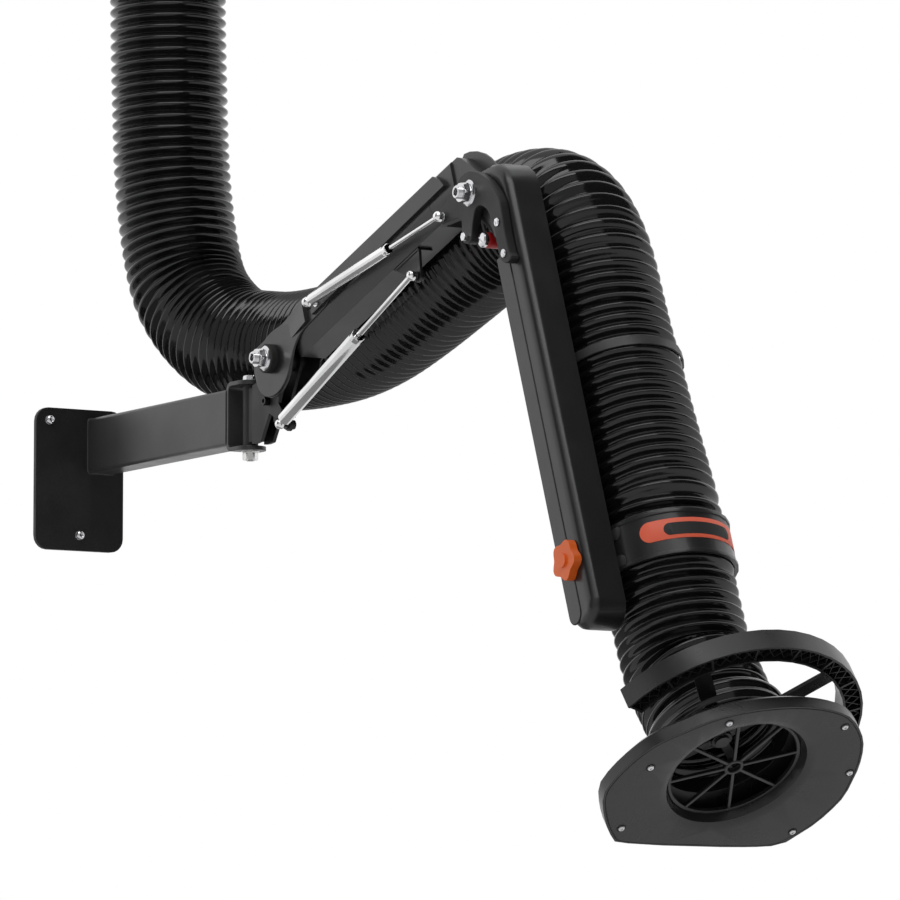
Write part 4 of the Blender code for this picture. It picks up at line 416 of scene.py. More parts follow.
def end_tree(tree, geometry, look):
    """Close a geometry tree: real geometry, with its finish."""
    real = node(tree, 'GeometryNodeRealizeInstances')
    paint = node(tree, 'GeometryNodeSetMaterial')
    paint.inputs['Material'].default_value = look
    out = node(tree, 'NodeGroupOutput')
    wire(tree, (geometry, real.inputs[0]), (real.outputs[0], paint.inputs[0]),
         (paint.outputs[0], out.inputs[0]))


def stand_on(tree, form, points, rotation, look):
    """Close a geometry tree with a form stood on points and turned."""
    info = node(tree, 'GeometryNodeObjectInfo')
    place = node(tree, 'GeometryNodeInstanceOnPoints')
    wire(tree, (form, info.inputs['Object']), (points, place.inputs['Points']),
         (info.outputs['Geometry'], place.inputs['Instance']), (rotation, place.inputs['Rotation']))
    end_tree(tree, place.outputs[0], look)


def set_out(name, form, places, look):
    """Copies of one form on many places, made with geometry nodes. A place is (spot, way)."""
    points = piece_of(name, [spot for spot, way in places], [])
    facing = points.data.attributes.new('facing', 'FLOAT_VECTOR', 'POINT')
    for item, (spot, way) in zip(facing.data, places):
        item.vector = Vector(way).to_track_quat('Z', 'Y').to_euler()
    tree, given = geometry_tree(name + '_set_out', Form='Object')
    turned_way = node(tree, 'GeometryNodeInputNamedAttribute', data_type='FLOAT_VECTOR')
    turned_way.inputs['Name'].default_value = 'facing'
    stand_on(tree, given.outputs['Form'], given.outputs['Geometry'], turned_way.outputs[0], look)
    made_plain(grow(points, tree, Form=form))
    bpy.data.objects.remove(form)
    return points


def hexagon_reach(turn_at, flat_share=1):
    """How far a hexagon with a corner radius of 1 reaches in a direction."""
    sector = (turn_at % (math.tau / 6)) - math.tau / 12
    return min(flat_share, math.cos(math.pi / 6) / math.cos(sector))


def button_head(name, radius, height, socket, depth, washer, washer_height, foot):
    """A button head with a hexagon socket on a washer, on its back at the origin."""
    crown = [(radius * math.cos(t), washer_height + height * 0.35 + height * 0.65 * math.sin(t))
             for t in (math.radians(a) for a in (0, 18, 36, 52, 64))]
    top_height = washer_height + height
    profile = [(0, -foot), (washer * 0.4, -foot), (washer * 0.4, 0), (washer, 0),
               (washer, washer_height * 0.8), (washer * 0.97, washer_height),
               (radius, washer_height)] + crown
    profile += [(socket * 1.12, top_height), (socket * 1.02, top_height - 0.0003),
                (socket, top_height - 0.0006, hexagon_reach), (socket, top_height - depth, hexagon_reach)]
    return lathe(name, profile, (0, 0, 0), (0, 0, 1), 36, caps=(len(profile) - 1,))


def box_middle(name):
    """The middle of a solid's box."""
    low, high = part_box(name)
    return (low + high) / 2


WALL_BOLTS = ['wall_bolt_%d' % k for k in (1, 2, 3)]
middles = [box_middle(name) for name in WALL_BOLTS]
wall_spots = [(Vector((PLATE_FACE, middle.y, middle.z)), (1, 0, 0)) for middle in middles]
button = button_head('button_form', radius=0.0066, height=0.0052, socket=0.0031, depth=0.0030,
                     washer=0.0073, washer_height=0.0016, foot=PLATE_FACE)
wall_bolts = set_out('wall_bolts', button, wall_spots, bright_plating)
settle(wall_bolts, bright_plating, 'bracket', 'chrome', *WALL_BOLTS)

# Bracket tube and end fork: a rectangular steel tube welded to the plate, with a bent flat-bar fork
# on its end that carries the swivel pin. Painted satin black; the paint fills the edges.
TUBE_EDGE = 0.0008
FORK_EDGE = 0.0014
PAINT_ROUGH = 0.34
TUBE_GREY = (0.036, 0.036, 0.037)
satin_paint = finish('satin_paint', TUBE_GREY, PAINT_ROUGH, 300, 0.00003)
dress('bracket_tube', satin_paint, 'bracket', 'grey_paint', TUBE_EDGE, name='tube_dressed')
dress('end_fork', satin_paint, 'bracket', 'grey_paint', FORK_EDGE, 3, 'fork_dressed')
WELD_RADIUS = 0.0013
TUBE_HALF_HEIGHT = 0.040
TUBE_HALF_WIDTH = 0.022
TUBE_CORNER = 0.005
TUBE_END = 0.428
WELD_STEPS = 220


def round_corners(half_width, half_height, radius, count):
    """Points evenly round a rectangle with round corners."""
    straight_up = 2 * (half_height - radius)
    straight_across = 2 * (half_width - radius)
    quarter = radius * math.pi / 2
    whole = 2 * (straight_up + straight_across) + 4 * quarter
    corners = ((half_width - radius, half_height - radius, 0),
               (-half_width + radius, half_height - radius, 90),
               (-half_width + radius, -half_height + radius, 180),
               (half_width - radius, -half_height + radius, 270))
    outline = []
    for k in range(count):
        left = whole * k / count
        for (a, b, start), straight in zip(corners, (straight_across, straight_up) * 2):
            t = math.radians(start) + min(left, quarter) / radius
            left -= quarter
            if left < straight:
                run = max(left, 0)
                outline.append((a + radius * math.cos(t) - run * math.sin(t),
                                b + radius * math.sin(t) + run * math.cos(t)))
                break
            left -= straight
    return outline


def weld_bead(name, depth, way):
    """A rippled fillet weld round the tube where it meets a face."""
    outline = round_corners(TUBE_HALF_WIDTH, TUBE_HALF_HEIGHT, TUBE_CORNER, WELD_STEPS)
    rows = []
    for k, (a, b) in enumerate(outline):
        before = Vector(outline[k - 1])
        after = Vector(outline[(k + 1) % len(outline)])
        run = (after - before).normalized()
        out = Vector((run.y, -run.x))
        ripple = WELD_RADIUS * (1 + 0.10 * math.sin(k * math.tau * 55 / WELD_STEPS))
        row = []
        for t in (math.radians(a) for a in range(-20, 111, 26)):
            spread = out * ripple * math.cos(t)
            row.append(Vector((depth + way * ripple * math.sin(t), a + spread.x, b + spread.y)))
        row.append(Vector((depth - way * 0.0004, a - out.x * 0.0008, b - out.y * 0.0008)))
        rows.append(row)
    return skin(name, rows, closed=True)


welds = joined('tube_welds', [weld_bead('weld_wall', PLATE_FACE, 1),
                              weld_bead('weld_fork', TUBE_END, -1)])
settle(welds, satin_paint, 'bracket', 'grey_paint')

# Swivel pin: a bolt down through the fork, with a pale plated flange nut below and a plain bush
# between the fork's arms.
SWIVEL_X = 0.459
FORK_OUTSIDE = 0.049
PIN_HEAD_RADIUS = 0.011
PIN_HEAD_HEIGHT = 0.0075
FLANGE_RADIUS = 0.013
FLANGE_HEIGHT = 0.003
NUT_HEIGHT = 0.013
HEXAGON_CHAMFER = 0.12
HEXAGON_FACE = 0.898
HEXAGON_CORNER = 0.985
PALE = (0.80, 0.80, 0.79)
pale_plating = finish('pale_plating', PALE, 0.30, 700, 0.00002, metallic=1, cloud=0.2, tone=0.05)


def hexagon_body(name, radius, low, high, start, way):
    """A hexagon with chamfered corners, as on a bolt head or nut."""
    chamfer = HEXAGON_CHAMFER * radius

    def flat(t):
        return hexagon_reach(t, HEXAGON_CORNER)

    def end(t):
        return min(hexagon_reach(t), HEXAGON_FACE)

    return lathe(name, ((0, low), (radius, low, end), (radius, low + chamfer, flat),
                        (radius, high - chamfer, flat), (radius, high, end), (0, high)), start, way, 72)


pin_head = hexagon_body('pin_head', PIN_HEAD_RADIUS, FORK_OUTSIDE, FORK_OUTSIDE + PIN_HEAD_HEIGHT,
                        (SWIVEL_X, 0, 0), (0, 0, 1))
pin_tip = lathe('pin_tip', ((0, FORK_OUTSIDE), (0.0058, FORK_OUTSIDE),
                            (0.0058, FORK_OUTSIDE + NUT_HEIGHT + 0.0008),
                            (0.0048, FORK_OUTSIDE + NUT_HEIGHT + 0.0016),
                            (0, FORK_OUTSIDE + NUT_HEIGHT + 0.0016)), (SWIVEL_X, 0, 0), (0, 0, -1), 32)
swivel_pin = joined('swivel_pin', [pin_head, pin_tip])
settle(swivel_pin, bright_plating, 'bracket', 'chrome', 'swivel_bolt')


def flange_nut(name, start, way, flange_radius, flange_height, nut_radius, nut_height, bore):
    """A hexagon nut on a domed flange, with a countersunk bore."""
    rim = [(flange_radius, flange_height * s) for s in (0, 0.35)]
    dome = [(flange_radius - (flange_radius - nut_radius * 0.9) * s,
             flange_height * (0.35 + 0.65 * math.sin(s * math.pi / 2))) for s in (0.15, 0.4, 0.7, 1)]
    flange = lathe(name + '_flange', [(bore, 0)] + rim + dome + [(bore, flange_height)], start, way,
                   48, closed=True)
    body = hexagon_body(name + '_hex', nut_radius, flange_height * 0.8, nut_height, start, way)
    return joined(name, [flange, body])


swivel_nut = flange_nut('swivel_nut_dressed', (SWIVEL_X, 0, -FORK_OUTSIDE), (0, 0, -1), FLANGE_RADIUS,
                        FLANGE_HEIGHT, PIN_HEAD_RADIUS, NUT_HEIGHT, 0.0055)
settle(swivel_nut, pale_plating, 'bracket', 'zinc', 'swivel_nut')
dress('swivel_bush', pale_plating, 'bracket', 'zinc', 0.0003, 1, 'bush_dressed')

# Swivel bracket: a barrel with two steel cheeks welded to it, black powder coated. A socket cap
# bolt in its front cheek is the arm's lower stop, and a ball stud carries the lift spring.
dress('swivel_bracket', powder_coat, 'swivel', 'black_paint', 0.0009)
DARK_STEEL = (0.020, 0.020, 0.021)
dark_plating = finish('dark_plating', DARK_STEEL, 0.30, 600, 0.00003, metallic=0.6, cloud=0.2)
STOP_SPOT = Vector((0.531, -0.012, 0.013))
stop_form = lathe('stop_form', ((0, 0), (0.0059, 0), (0.0062, 0.0004), (0.0062, 0.0074),
                                (0.0056, 0.008), (0.0034, 0.008), (0.0031, 0.0076), (0.0031, 0.004),
                                (0, 0.004)), STOP_SPOT, (0, -1, 0), 36)
settle(stop_form, dark_plating, 'swivel', 'black_steel', 'stop_bolt')
LIFT_LOW = Vector((0.579, -0.020, -0.024))
LIFT_HIGH = Vector((0.938, -0.020, 0.140))
BALL_RADIUS = 0.005
STUD_NECK = 0.003
STUD_NEAR = -0.0085
STUD_FAR = -0.0025
STUD_NUT = (0.0072, 0.005)
ball = [(BALL_RADIUS * math.cos(t), LIFT_LOW.y + BALL_RADIUS * math.sin(t))
        for t in (math.radians(15 * k - 90) for k in range(1, 9))]
profile = [(0, LIFT_LOW.y - BALL_RADIUS)] + ball
profile += [(STUD_NECK, STUD_NEAR - 0.002), (0.0057, STUD_NEAR - 0.002), (0.006, STUD_NEAR - 0.0017),
            (0.006, STUD_NEAR), (STUD_NECK, STUD_NEAR), (STUD_NECK, STUD_FAR), (0, STUD_FAR)]
foot = (LIFT_LOW.x, 0, LIFT_LOW.z)
stud = lathe('lift_stud_body', profile, foot, (0, 1, 0), 32)
stud_nut = hexagon_body('lift_stud_nut', STUD_NUT[0], STUD_FAR, STUD_FAR + STUD_NUT[1], foot, (0, 1, 0))
lift_stud = joined('lift_stud_dressed', [stud, stud_nut])
settle(lift_stud, dark_plating, 'swivel', 'black_steel', 'lift_stud')

# Inner arm: a folded steel channel with its cover, a long raised pad on its front and a tongue at
# the elbow. Satin black paint. The hose hanger and the spring's eye bracket are screwed to it.
ARM_EDGE = 0.0010
SATIN_BLACK = (0.0120, 0.0120, 0.0125)
SATIN_ROUGH = 0.34
arm_paint = finish('arm_paint', SATIN_BLACK, SATIN_ROUGH, 380, 0.00004, coat=0.15)
LOWER_PIVOT = Vector((0.565, 0, 0.0676))
UPPER_PIVOT = Vector((1.116, 0, 0.226))
INNER_RISE = math.radians(19.75)
OUTER_RISE = math.radians(-69.75)


def on_arm(pivot, rise_angle, along, across, side):
    """A place on an arm: along it from its pivot, across it, and at a Y of its own."""
    run = along * math.cos(rise_angle) - across * math.sin(rise_angle)
    lift = along * math.sin(rise_angle) + across * math.cos(rise_angle)
    return Vector((pivot.x + run, side, pivot.z + lift))


def on_inner(along, across, side):
    return on_arm(LOWER_PIVOT, INNER_RISE, along, across, side)


def on_outer(along, across, side):
    return on_arm(UPPER_PIVOT, OUTER_RISE, along, across, side)


CURVE_STEPS = 6


def between(here, there, pull, push, steps):
    """Points from one knot towards the next, with a pull at the start and a push at the end."""
    line = []
    for step in range(steps):
        t = step / steps
        spot = here.lerp(there, t * t * (3 - 2 * t))
        line.append(spot + pull * t * (1 - t) ** 2 - push * t * t * (1 - t))
    return line


def curved(outline):
    """A closed outline with round turns through its points."""
    corners = [Vector(p) for p in outline]
    count = len(corners)
    line = []
    for k in range(count):
        before, here, there, after = (corners[(k + i) % count] for i in (-1, 0, 1, 2))
        span = (there - here).length
        line += between(here, there, (there - before).normalized() * span,
                        (after - here).normalized() * span, CURVE_STEPS)
    return line


def prism(name, outline, levels, place):
    """A straight-sided form between two levels, laid by a function of three measures."""
    return skin(name, [[place(p[0], p[1], level) for p in outline] for level in levels], caps=(0, 1))


def plate_form(name, outline, faces, edge, segments=3, place=on_outer):
    """A flat plate with rounded edges, between two faces that stand across Y."""
    return bevelled(prism(name, outline, faces, place), edge, segments)


GUSSET_OUTLINE = ((-0.040, 0.012), (-0.050, -0.012), (-0.040, -0.036), (-0.016, -0.050), (0.012, -0.051),
                  (0.034, -0.041), (0.050, -0.026), (0.068, -0.010), (0.092, -0.002), (0.150, 0.001),
                  (0.168, 0.006), (0.160, 0.014), (0.110, 0.018), (0.060, 0.026), (0.030, 0.034),
                  (-0.010, 0.033))
GUSSET_FACES = (-0.0262, -0.0225)
gusset = plate_form('inner_arm_gusset', curved(GUSSET_OUTLINE), GUSSET_FACES, 0.0013, place=on_inner)
settle(gusset, arm_paint, 'inner_arm', 'black_paint')
for source in ('inner_arm', 'inner_arm_cover', 'spring_bracket'):
    dress(source, arm_paint, 'inner_arm', 'black_paint', ARM_EDGE)

# Pivot bolts: a hexagon bolt right through each joint, with a plated flange nut on the near side and
# its threaded, drilled end standing out. A thick friction washer sits under the shoulder's nut.
BOLT_RADIUS = 0.0088
BORE_RADIUS = 0.005
HEX_HEAD_RADIUS = 0.015
HEX_HEAD_HEIGHT = 0.008
THREAD_PITCH = 0.0018
NUT_FLANGE_RADIUS = 0.0175
NUT_FLANGE_HEIGHT = 0.004
NUT_HEX_RADIUS = 0.0142


def threaded_end(name, centre, start, end):
    """A hollow threaded end that points to the near side (-Y)."""
    length = start - end
    profile = [(BORE_RADIUS, 0), (BOLT_RADIUS, 0)]
    count = int(length / THREAD_PITCH)
    for k in range(count):
        profile += [(BOLT_RADIUS, (k + 0.3) * THREAD_PITCH),
                    (BOLT_RADIUS - 0.0007, (k + 0.8) * THREAD_PITCH)]
    profile += [(BOLT_RADIUS, length - 0.0012), (BOLT_RADIUS - 0.001, length),
                (BORE_RADIUS + 0.0006, length), (BORE_RADIUS, length - 0.0006)]
    bore = lathe(name + '_bore', ((0, length - 0.009), (BORE_RADIUS, length - 0.009),
                                  (BORE_RADIUS, length - 0.0005)), (centre.x, start, centre.z),
                 (0, -1, 0), 40)
    shell = lathe(name + '_thread', profile, (centre.x, start, centre.z), (0, -1, 0), 40, closed=True)
    return joined(name, [shell, bore])


for joint, pivot, body in (('shoulder', LOWER_PIVOT, 'inner_arm'), ('elbow', UPPER_PIVOT, 'outer_arm')):
    nut_low, nut_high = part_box(joint + '_nut')
    bolt_low, bolt_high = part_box(joint + '_bolt')
    spot = Vector((pivot.x, nut_high.y, pivot.z))
    nut = flange_nut(joint + '_nut_dressed', spot, (0, -1, 0), NUT_FLANGE_RADIUS, NUT_FLANGE_HEIGHT,
                     NUT_HEX_RADIUS, nut_high.y - nut_low.y, BOLT_RADIUS * 0.9)
    settle(nut, bright_plating, body, 'chrome', joint + '_nut')
    end = threaded_end(joint + '_end', pivot, nut_high.y - 0.001, bolt_low.y)
    head = hexagon_body(joint + '_head', HEX_HEAD_RADIUS, 0, HEX_HEAD_HEIGHT,
                        (pivot.x, bolt_high.y - HEX_HEAD_HEIGHT, pivot.z), (0, 1, 0))
    length = bolt_high.y - HEX_HEAD_HEIGHT / 2 - nut_high.y
    shank = lathe(joint + '_shank', ((0, 0), (BOLT_RADIUS, 0), (BOLT_RADIUS, length), (0, length)),
                  spot, (0, 1, 0), 40)
    bolt = joined(joint + '_bolt_dressed', [end, head, shank])
    settle(bolt, bright_plating, body, 'chrome', joint + '_bolt')
friction_lining = finish('friction_lining', (0.012, 0.011, 0.010), 0.75, 500, 0.0001, tone=0.3)
dress('friction_washer', friction_lining, 'inner_arm', 'friction_pad', 0.0008)

# Gas springs: polished steel cylinders with a rolled gland, ground rods and domed ball cups. Three
# of the cups take a ball stud; the one on the lift rod's end carries a stud of its own.
ground_steel = finish('ground_steel', (0.88, 0.88, 0.89), 0.14, 1200, 0.00001, metallic=1, cloud=0.25)
polished_steel = finish('polished_steel', (0.88, 0.88, 0.89), 0.12, 900, 0.00001, metallic=1, cloud=0.2)
CUP_RADIUS = 0.0072
CUP_HOLLOW = 0.0053
CUP_MOUTH = 0.0037
CUP_FRONT = 0.0038
CUP_STEPS = 10
NECK_START = 0.0062
NECK_RADIUS = 0.004
BODY_START = 0.014
BODY_BASE = 0.024
GLAND_LENGTH = 0.010
PISTON_LENGTH = 0.008
EASE = 0.0008
SPRING_SIDES = 64
ELBOW_LOW = Vector((0.698, -0.045, 0.130))
ELBOW_HIGH = Vector((1.050, -0.045, 0.203))


def ball_cup(name, centre, stud=0):
    """The domed cup on a spring's end: open to take a ball, or closed on a stud of its own."""
    turns = [math.pi / 2 * k / CUP_STEPS for k in range(CUP_STEPS + 1)]
    profile = [(CUP_RADIUS * math.sin(t), -CUP_RADIUS * math.cos(t)) for t in turns]
    profile[0] = (0, -CUP_RADIUS)
    profile += [(CUP_RADIUS, CUP_FRONT - EASE), (CUP_RADIUS - EASE, CUP_FRONT)]
    if stud:
        profile += [(0.003, CUP_FRONT), (0.003, stud), (0, stud)]
    else:
        mouth = math.pi - math.asin(CUP_MOUTH / CUP_HOLLOW)
        turns = [mouth * k / CUP_STEPS for k in range(CUP_STEPS, -1, -1)]
        hollow = [(CUP_HOLLOW * math.sin(t), -CUP_HOLLOW * math.cos(t)) for t in turns]
        hollow[-1] = (0, -CUP_HOLLOW)
        profile += hollow
    return lathe(name + '_cup', profile, centre, (0, 1, 0), 40)


for name, low, high, radius, length, bore, mouth, rod_radius, rod_length, stud in (
        ('lift', LIFT_LOW, LIFT_HIGH, 0.00975, 0.2396, 0.008, 0.0048, 0.004, 0.225, 0.0062),
        ('elbow', ELBOW_LOW, ELBOW_HIGH, 0.0075, 0.2275, 0.0065, 0.0064, 0.0028, 0.215, 0)):
    groove = length - GLAND_LENGTH
    body = lathe(name + '_body', ((0, NECK_START), (NECK_RADIUS, NECK_START), (NECK_RADIUS, BODY_START),
                                  (radius - EASE, BODY_START), (radius, BODY_START + EASE),
                                  (radius, groove - EASE), (radius - EASE / 2, groove),
                                  (radius, groove + EASE), (radius, length - EASE),
                                  (radius - EASE, length), (mouth, length),
                                  (mouth, groove), (bore, groove), (bore, BODY_BASE),
                                  (0, BODY_BASE)), low, high - low, SPRING_SIDES)
    part = joined(name + '_cylinder_dressed', [body, ball_cup(name + '_low', low)])
    settle(part, polished_steel, name + '_cylinder', 'zinc', name + '_cylinder')
    piston = rod_length - PISTON_LENGTH
    shaft = [(0, NECK_START), (rod_radius, NECK_START), (rod_radius, rod_length), (0, rod_length)]
    if stud:
        shaft[2:3] = [(rod_radius, piston), (bore - 0.0003, piston), (bore - 0.0003, rod_length)]
    rod = lathe(name + '_shaft', shaft, high, low - high, SPRING_SIDES)
    part = joined(name + '_rod_dressed', [rod, ball_cup(name + '_high', high, stud)])
    settle(part, ground_steel, name + '_rod', 'chrome', name + '_rod')
for source, look, body, slot in (('lift_anchor', dark_plating, 'inner_arm', 'black_steel'),
                                 ('elbow_spring_stud', bright_plating, 'inner_arm', 'chrome'),
                                 ('lever_stud', bright_plating, 'outer_arm', 'chrome')):
    dress(source, look, body, slot, 0.0004)

# Outer arm: a folded channel with its cover and a round lower end, painted satin black. The elbow's
# pressed cheek is screwed inside it, and the cranked lever of the upper spring on its near side.
for source in ('outer_arm', 'outer_arm_cover', 'tilt_bracket'):
    dress(source, arm_paint, 'outer_arm', 'black_paint', ARM_EDGE)
LEVER_OUTLINE = ((-0.024, -0.032), (-0.031, -0.011), (-0.029, 0.007), (-0.018, 0.025),
                 (0.001, 0.044), (0.020, 0.056), (0.043, 0.064), (0.065, 0.064), (0.093, 0.062),
                 (0.119, 0.063), (0.128, 0.065), (0.129, 0.051), (0.119, 0.041), (0.096, 0.039),
                 (0.072, 0.040), (0.045, 0.034), (0.029, 0.020), (0.027, 0.007), (0.043, -0.007),
                 (0.060, -0.0175), (0.061, -0.027), (0.049, -0.039), (0.036, -0.034),
                 (0.022, -0.032), (0.014, -0.050), (0.009, -0.068), (0.006, -0.078),
                 (-0.002, -0.083), (-0.010, -0.080), (-0.014, -0.070), (-0.017, -0.050))
LEVER_FACES = (-0.037, -0.0243)
dress('elbow_cheek', satin_paint, 'outer_arm', 'grey_paint', 0.0012, 3)
lever = plate_form('elbow_lever_dressed', curved(LEVER_OUTLINE), LEVER_FACES, 0.0014)
settle(lever, powder_coat, 'outer_arm', 'black_paint', 'elbow_lever')

# Raised panel down the outer arm's front, with a round lower end. It is pressed in the same sheet,
# and shares its paint. The dark groove round it is a near-black strip of painted shade.
PANEL_TOP = 0.105
PANEL_END = 0.630
PANEL_NEAR = 0.0145
PANEL_FAR = 0.0420
PANEL_FACES = (-0.0251, -0.0235)
GROOVE_FACES = (-0.02415, -0.0236)
GROOVE_WIDTH = 0.0013
PANEL_STEPS = 20


def panel_outline(margin):
    """The panel's outline, grown by a margin."""
    half = (PANEL_FAR - PANEL_NEAR) / 2
    middle = PANEL_NEAR + half
    reach = half + margin
    line = [(PANEL_TOP - margin, middle - reach), (PANEL_TOP - margin, middle + reach)]
    for k in range(PANEL_STEPS + 1):
        t = math.pi / 2 - math.pi * k / PANEL_STEPS
        line.append((PANEL_END - half + reach * math.cos(t), middle + reach * math.sin(t)))
    return line


# Near-black finish for painted shade: the groove round this panel, the seam round the hood's face and the
# rings round the face screws.
groove_paint = finish('groove_paint', (0.0015, 0.0015, 0.0015), 0.70, 380, 0.00004)
panel = plate_form('outer_arm_panel', panel_outline(0), PANEL_FACES, 0.0006, 2)
settle(panel, arm_paint, 'outer_arm', 'black_paint')
# The groove's strip, a little wider than the panel and painted near-black, is painted shade.
groove = plate_form('outer_arm_groove', panel_outline(GROOVE_WIDTH), GROOVE_FACES, 0.0001, 2)
settle(groove, groove_paint, 'outer_arm', 'black_paint')

# Lever fasteners: bright domed screws with a straight slot, a hexagon bolt at the lever's foot, and
# the red stop cap with a slotted screw through its middle.
SCREW_RADIUS = 0.0058
SCREW_HEIGHT = 0.003
SLOT_HALF = 0.0008
SLOT_DEPTH = 0.0014
STOP_CENTRE = on_outer(0.066, -0.004, 0)
CAP_RADIUS = 0.0105
CAP_NEAR = -0.024
CAP_FAR = -0.003
STOP_HEAD_RADIUS = 0.010
STOP_HEAD_HEIGHT = 0.008


def slotted_head(name, radius, height, centre, turn_angle, dome=0.55):
    """A screw head that points to the near side (-Y), with a straight slot across it."""
    rings = [(radius * math.cos(t), height * (1 - dome) + height * dome * math.sin(t))
             for t in (math.radians(a) for a in (0, 15, 30, 45, 60, 75))]
    head = lathe(name, [(0, 0), (radius * 0.97, 0), (radius, height * 0.08)] + rings + [(0, height)],
                 (0, 0, 0), (0, 0, 1), 48)
    work = bmesh.new()
    work.from_mesh(head.data)
    for share in (-1, -0.99, 1, 0.99):
        bmesh.ops.bisect_plane(work, geom=work.verts[:] + work.edges[:] + work.faces[:],
                               plane_co=(share * SLOT_HALF, 0, 0), plane_no=(1, 0, 0))
    for point in work.verts:
        if abs(point.co.x) < SLOT_HALF * 0.995 and point.co.z > height - SLOT_DEPTH:
            point.co.z = height - SLOT_DEPTH
    work.to_mesh(head.data)
    work.free()
    spin = Matrix.Rotation(turn_angle, 4, 'Z')
    lay = Vector((0, -1, 0)).to_track_quat('Z', 'Y').to_matrix().to_4x4()
    head.data.transform(Matrix.Translation(centre) @ lay @ spin)
    return head


for name, along, across, angle in (('lever_screw_1', 0.069, 0.050, 0.5),
                                   ('lever_screw_2', 0.115, 0.051, 1.2)):
    spot = on_outer(along, across, LEVER_FACES[0])
    screw = slotted_head(name + '_dressed', SCREW_RADIUS, SCREW_HEIGHT, spot, angle)
    settle(screw, bright_plating, 'outer_arm', 'chrome', name)
dress('lever_bolt', bright_plating, 'outer_arm', 'chrome', 0.0006)
red_rubber = finish('red_rubber', (0.34, 0.006, 0.007), 0.40, 600, 0.00005, cloud=0.2)
cap = lathe('stop_cap_dressed', ((0.003, 0), (CAP_RADIUS - 0.0012, 0), (CAP_RADIUS, 0.0012),
                                 (CAP_RADIUS, 0.0185), (CAP_RADIUS - 0.0006, 0.0200),
                                 (CAP_RADIUS - 0.002, 0.0208), (0.003, 0.0208)),
            (STOP_CENTRE.x, CAP_FAR, STOP_CENTRE.z), (0, -1, 0), 48, closed=True)
settle(cap, red_rubber, 'outer_arm', 'red_rubber', 'stop_cap')
stop_screw = slotted_head('stop_screw_dressed', STOP_HEAD_RADIUS, STOP_HEAD_HEIGHT,
                          Vector((STOP_CENTRE.x, CAP_NEAR + 0.0003, STOP_CENTRE.z)), 0.9, 0.35)
settle(stop_screw, bright_plating, 'outer_arm', 'chrome', 'stop_screw')

# Star knob: a five-lobed handle of orange moulded plastic that clamps the hood's friction bolt.
orange_plastic = finish('orange_plastic', (0.72, 0.115, 0.008), 0.46, 500, 0.00003, cloud=0.15, tone=0.05)
dress('knob', orange_plastic, 'knob', 'knob_plastic', 0.0022, 4)

# Duct collar and hose collar: turned rings of black painted steel that the hose is clamped in. The
# hose collar has a rolled rim at both ends and carries two small tabs, and a bare orange pill with
# a dark one inside.
for source, body in (('duct_collar', 'bracket'), ('hose_collar', 'outer_arm')):
    dress(source, arm_paint, body, 'black_paint', 0.0008)
COLLAR_ALONG = 0.540
COLLAR_ACROSS = 0.043
COLLAR_SIDE = 0.118
COLLAR_RADIUS = 0.0896
LABEL_CENTRE = (0.5363, math.radians(12))
LABEL_HALF = (0.0140, math.radians(63))
INNER_PILL_CENTRE = (0.5369, math.radians(3))
INNER_PILL_HALF = (0.0084, math.radians(34))
TAB_ANGLE = math.radians(-75.5)
TAB_HALF = (0.0095, math.radians(8.5))
PILL_STEPS = 72
PILL_BANDS = 25
PILL_SUNK = 0.001
PILL_EASE = 0.0001
LABEL_HEIGHT = 0.0006
INNER_PILL_HEIGHT = 0.0009
TAB_HEIGHT = 0.0012
label_orange = finish('label_orange', (0.80, 0.125, 0.062), 0.50, 700, 0.00001, tone=0.04)
label_dark = finish('label_dark', (0.010, 0.010, 0.010), 0.60, 700, 0.00001)


def on_collar(along, angle, reach):
    """A place on the hose collar's round outside."""
    return on_outer(along, COLLAR_ACROSS + reach * math.cos(angle), COLLAR_SIDE + reach * math.sin(angle))


def pill(name, centre, half, high):
    """A pill that follows the collar, with its length round the collar."""
    round_end = half[0] / COLLAR_RADIUS
    straight = half[1] - round_end
    line = []
    for k in range(PILL_STEPS // 2 + 1):
        t = math.tau * k / PILL_STEPS
        line.append((half[0] * math.sin(t), math.copysign(straight, math.cos(t)) + round_end * math.cos(t)))
    middle = PILL_STEPS // 4
    across, angle = line[middle]
    over, fall = line[middle + 1][0] - across, line[middle + 1][1] - angle
    line[middle:middle + 1] = [(across + over * k / PILL_BANDS, angle + fall * k / PILL_BANDS)
                               for k in range(PILL_BANDS)]
    rows = []
    for across, angle in line:
        near, far = [[on_collar(centre[0] + side * across * share, centre[1] + angle * share, reach)
                      for reach, share in ((COLLAR_RADIUS - PILL_SUNK, 1), (high - PILL_EASE, 1),
                                           (high, 0.985))] for side in (1, -1)]
        rows.append(near + far[::-1])
    return skin(name, rows)


for name, centre, half, height, look, slot in (
        ('collar_label', LABEL_CENTRE, LABEL_HALF, LABEL_HEIGHT, label_orange, 'knob_plastic'),
        ('collar_tab_1', (0.5200, TAB_ANGLE), TAB_HALF, TAB_HEIGHT, satin_paint, 'black_paint'),
        ('collar_tab_2', (0.5605, TAB_ANGLE), TAB_HALF, TAB_HEIGHT, satin_paint, 'black_paint'),
        ('collar_label_inner', INNER_PILL_CENTRE, INNER_PILL_HALF, INNER_PILL_HEIGHT, label_dark,
         'black_paint')):
    settle(pill(name, centre, half, COLLAR_RADIUS + height), look, 'outer_arm', slot)
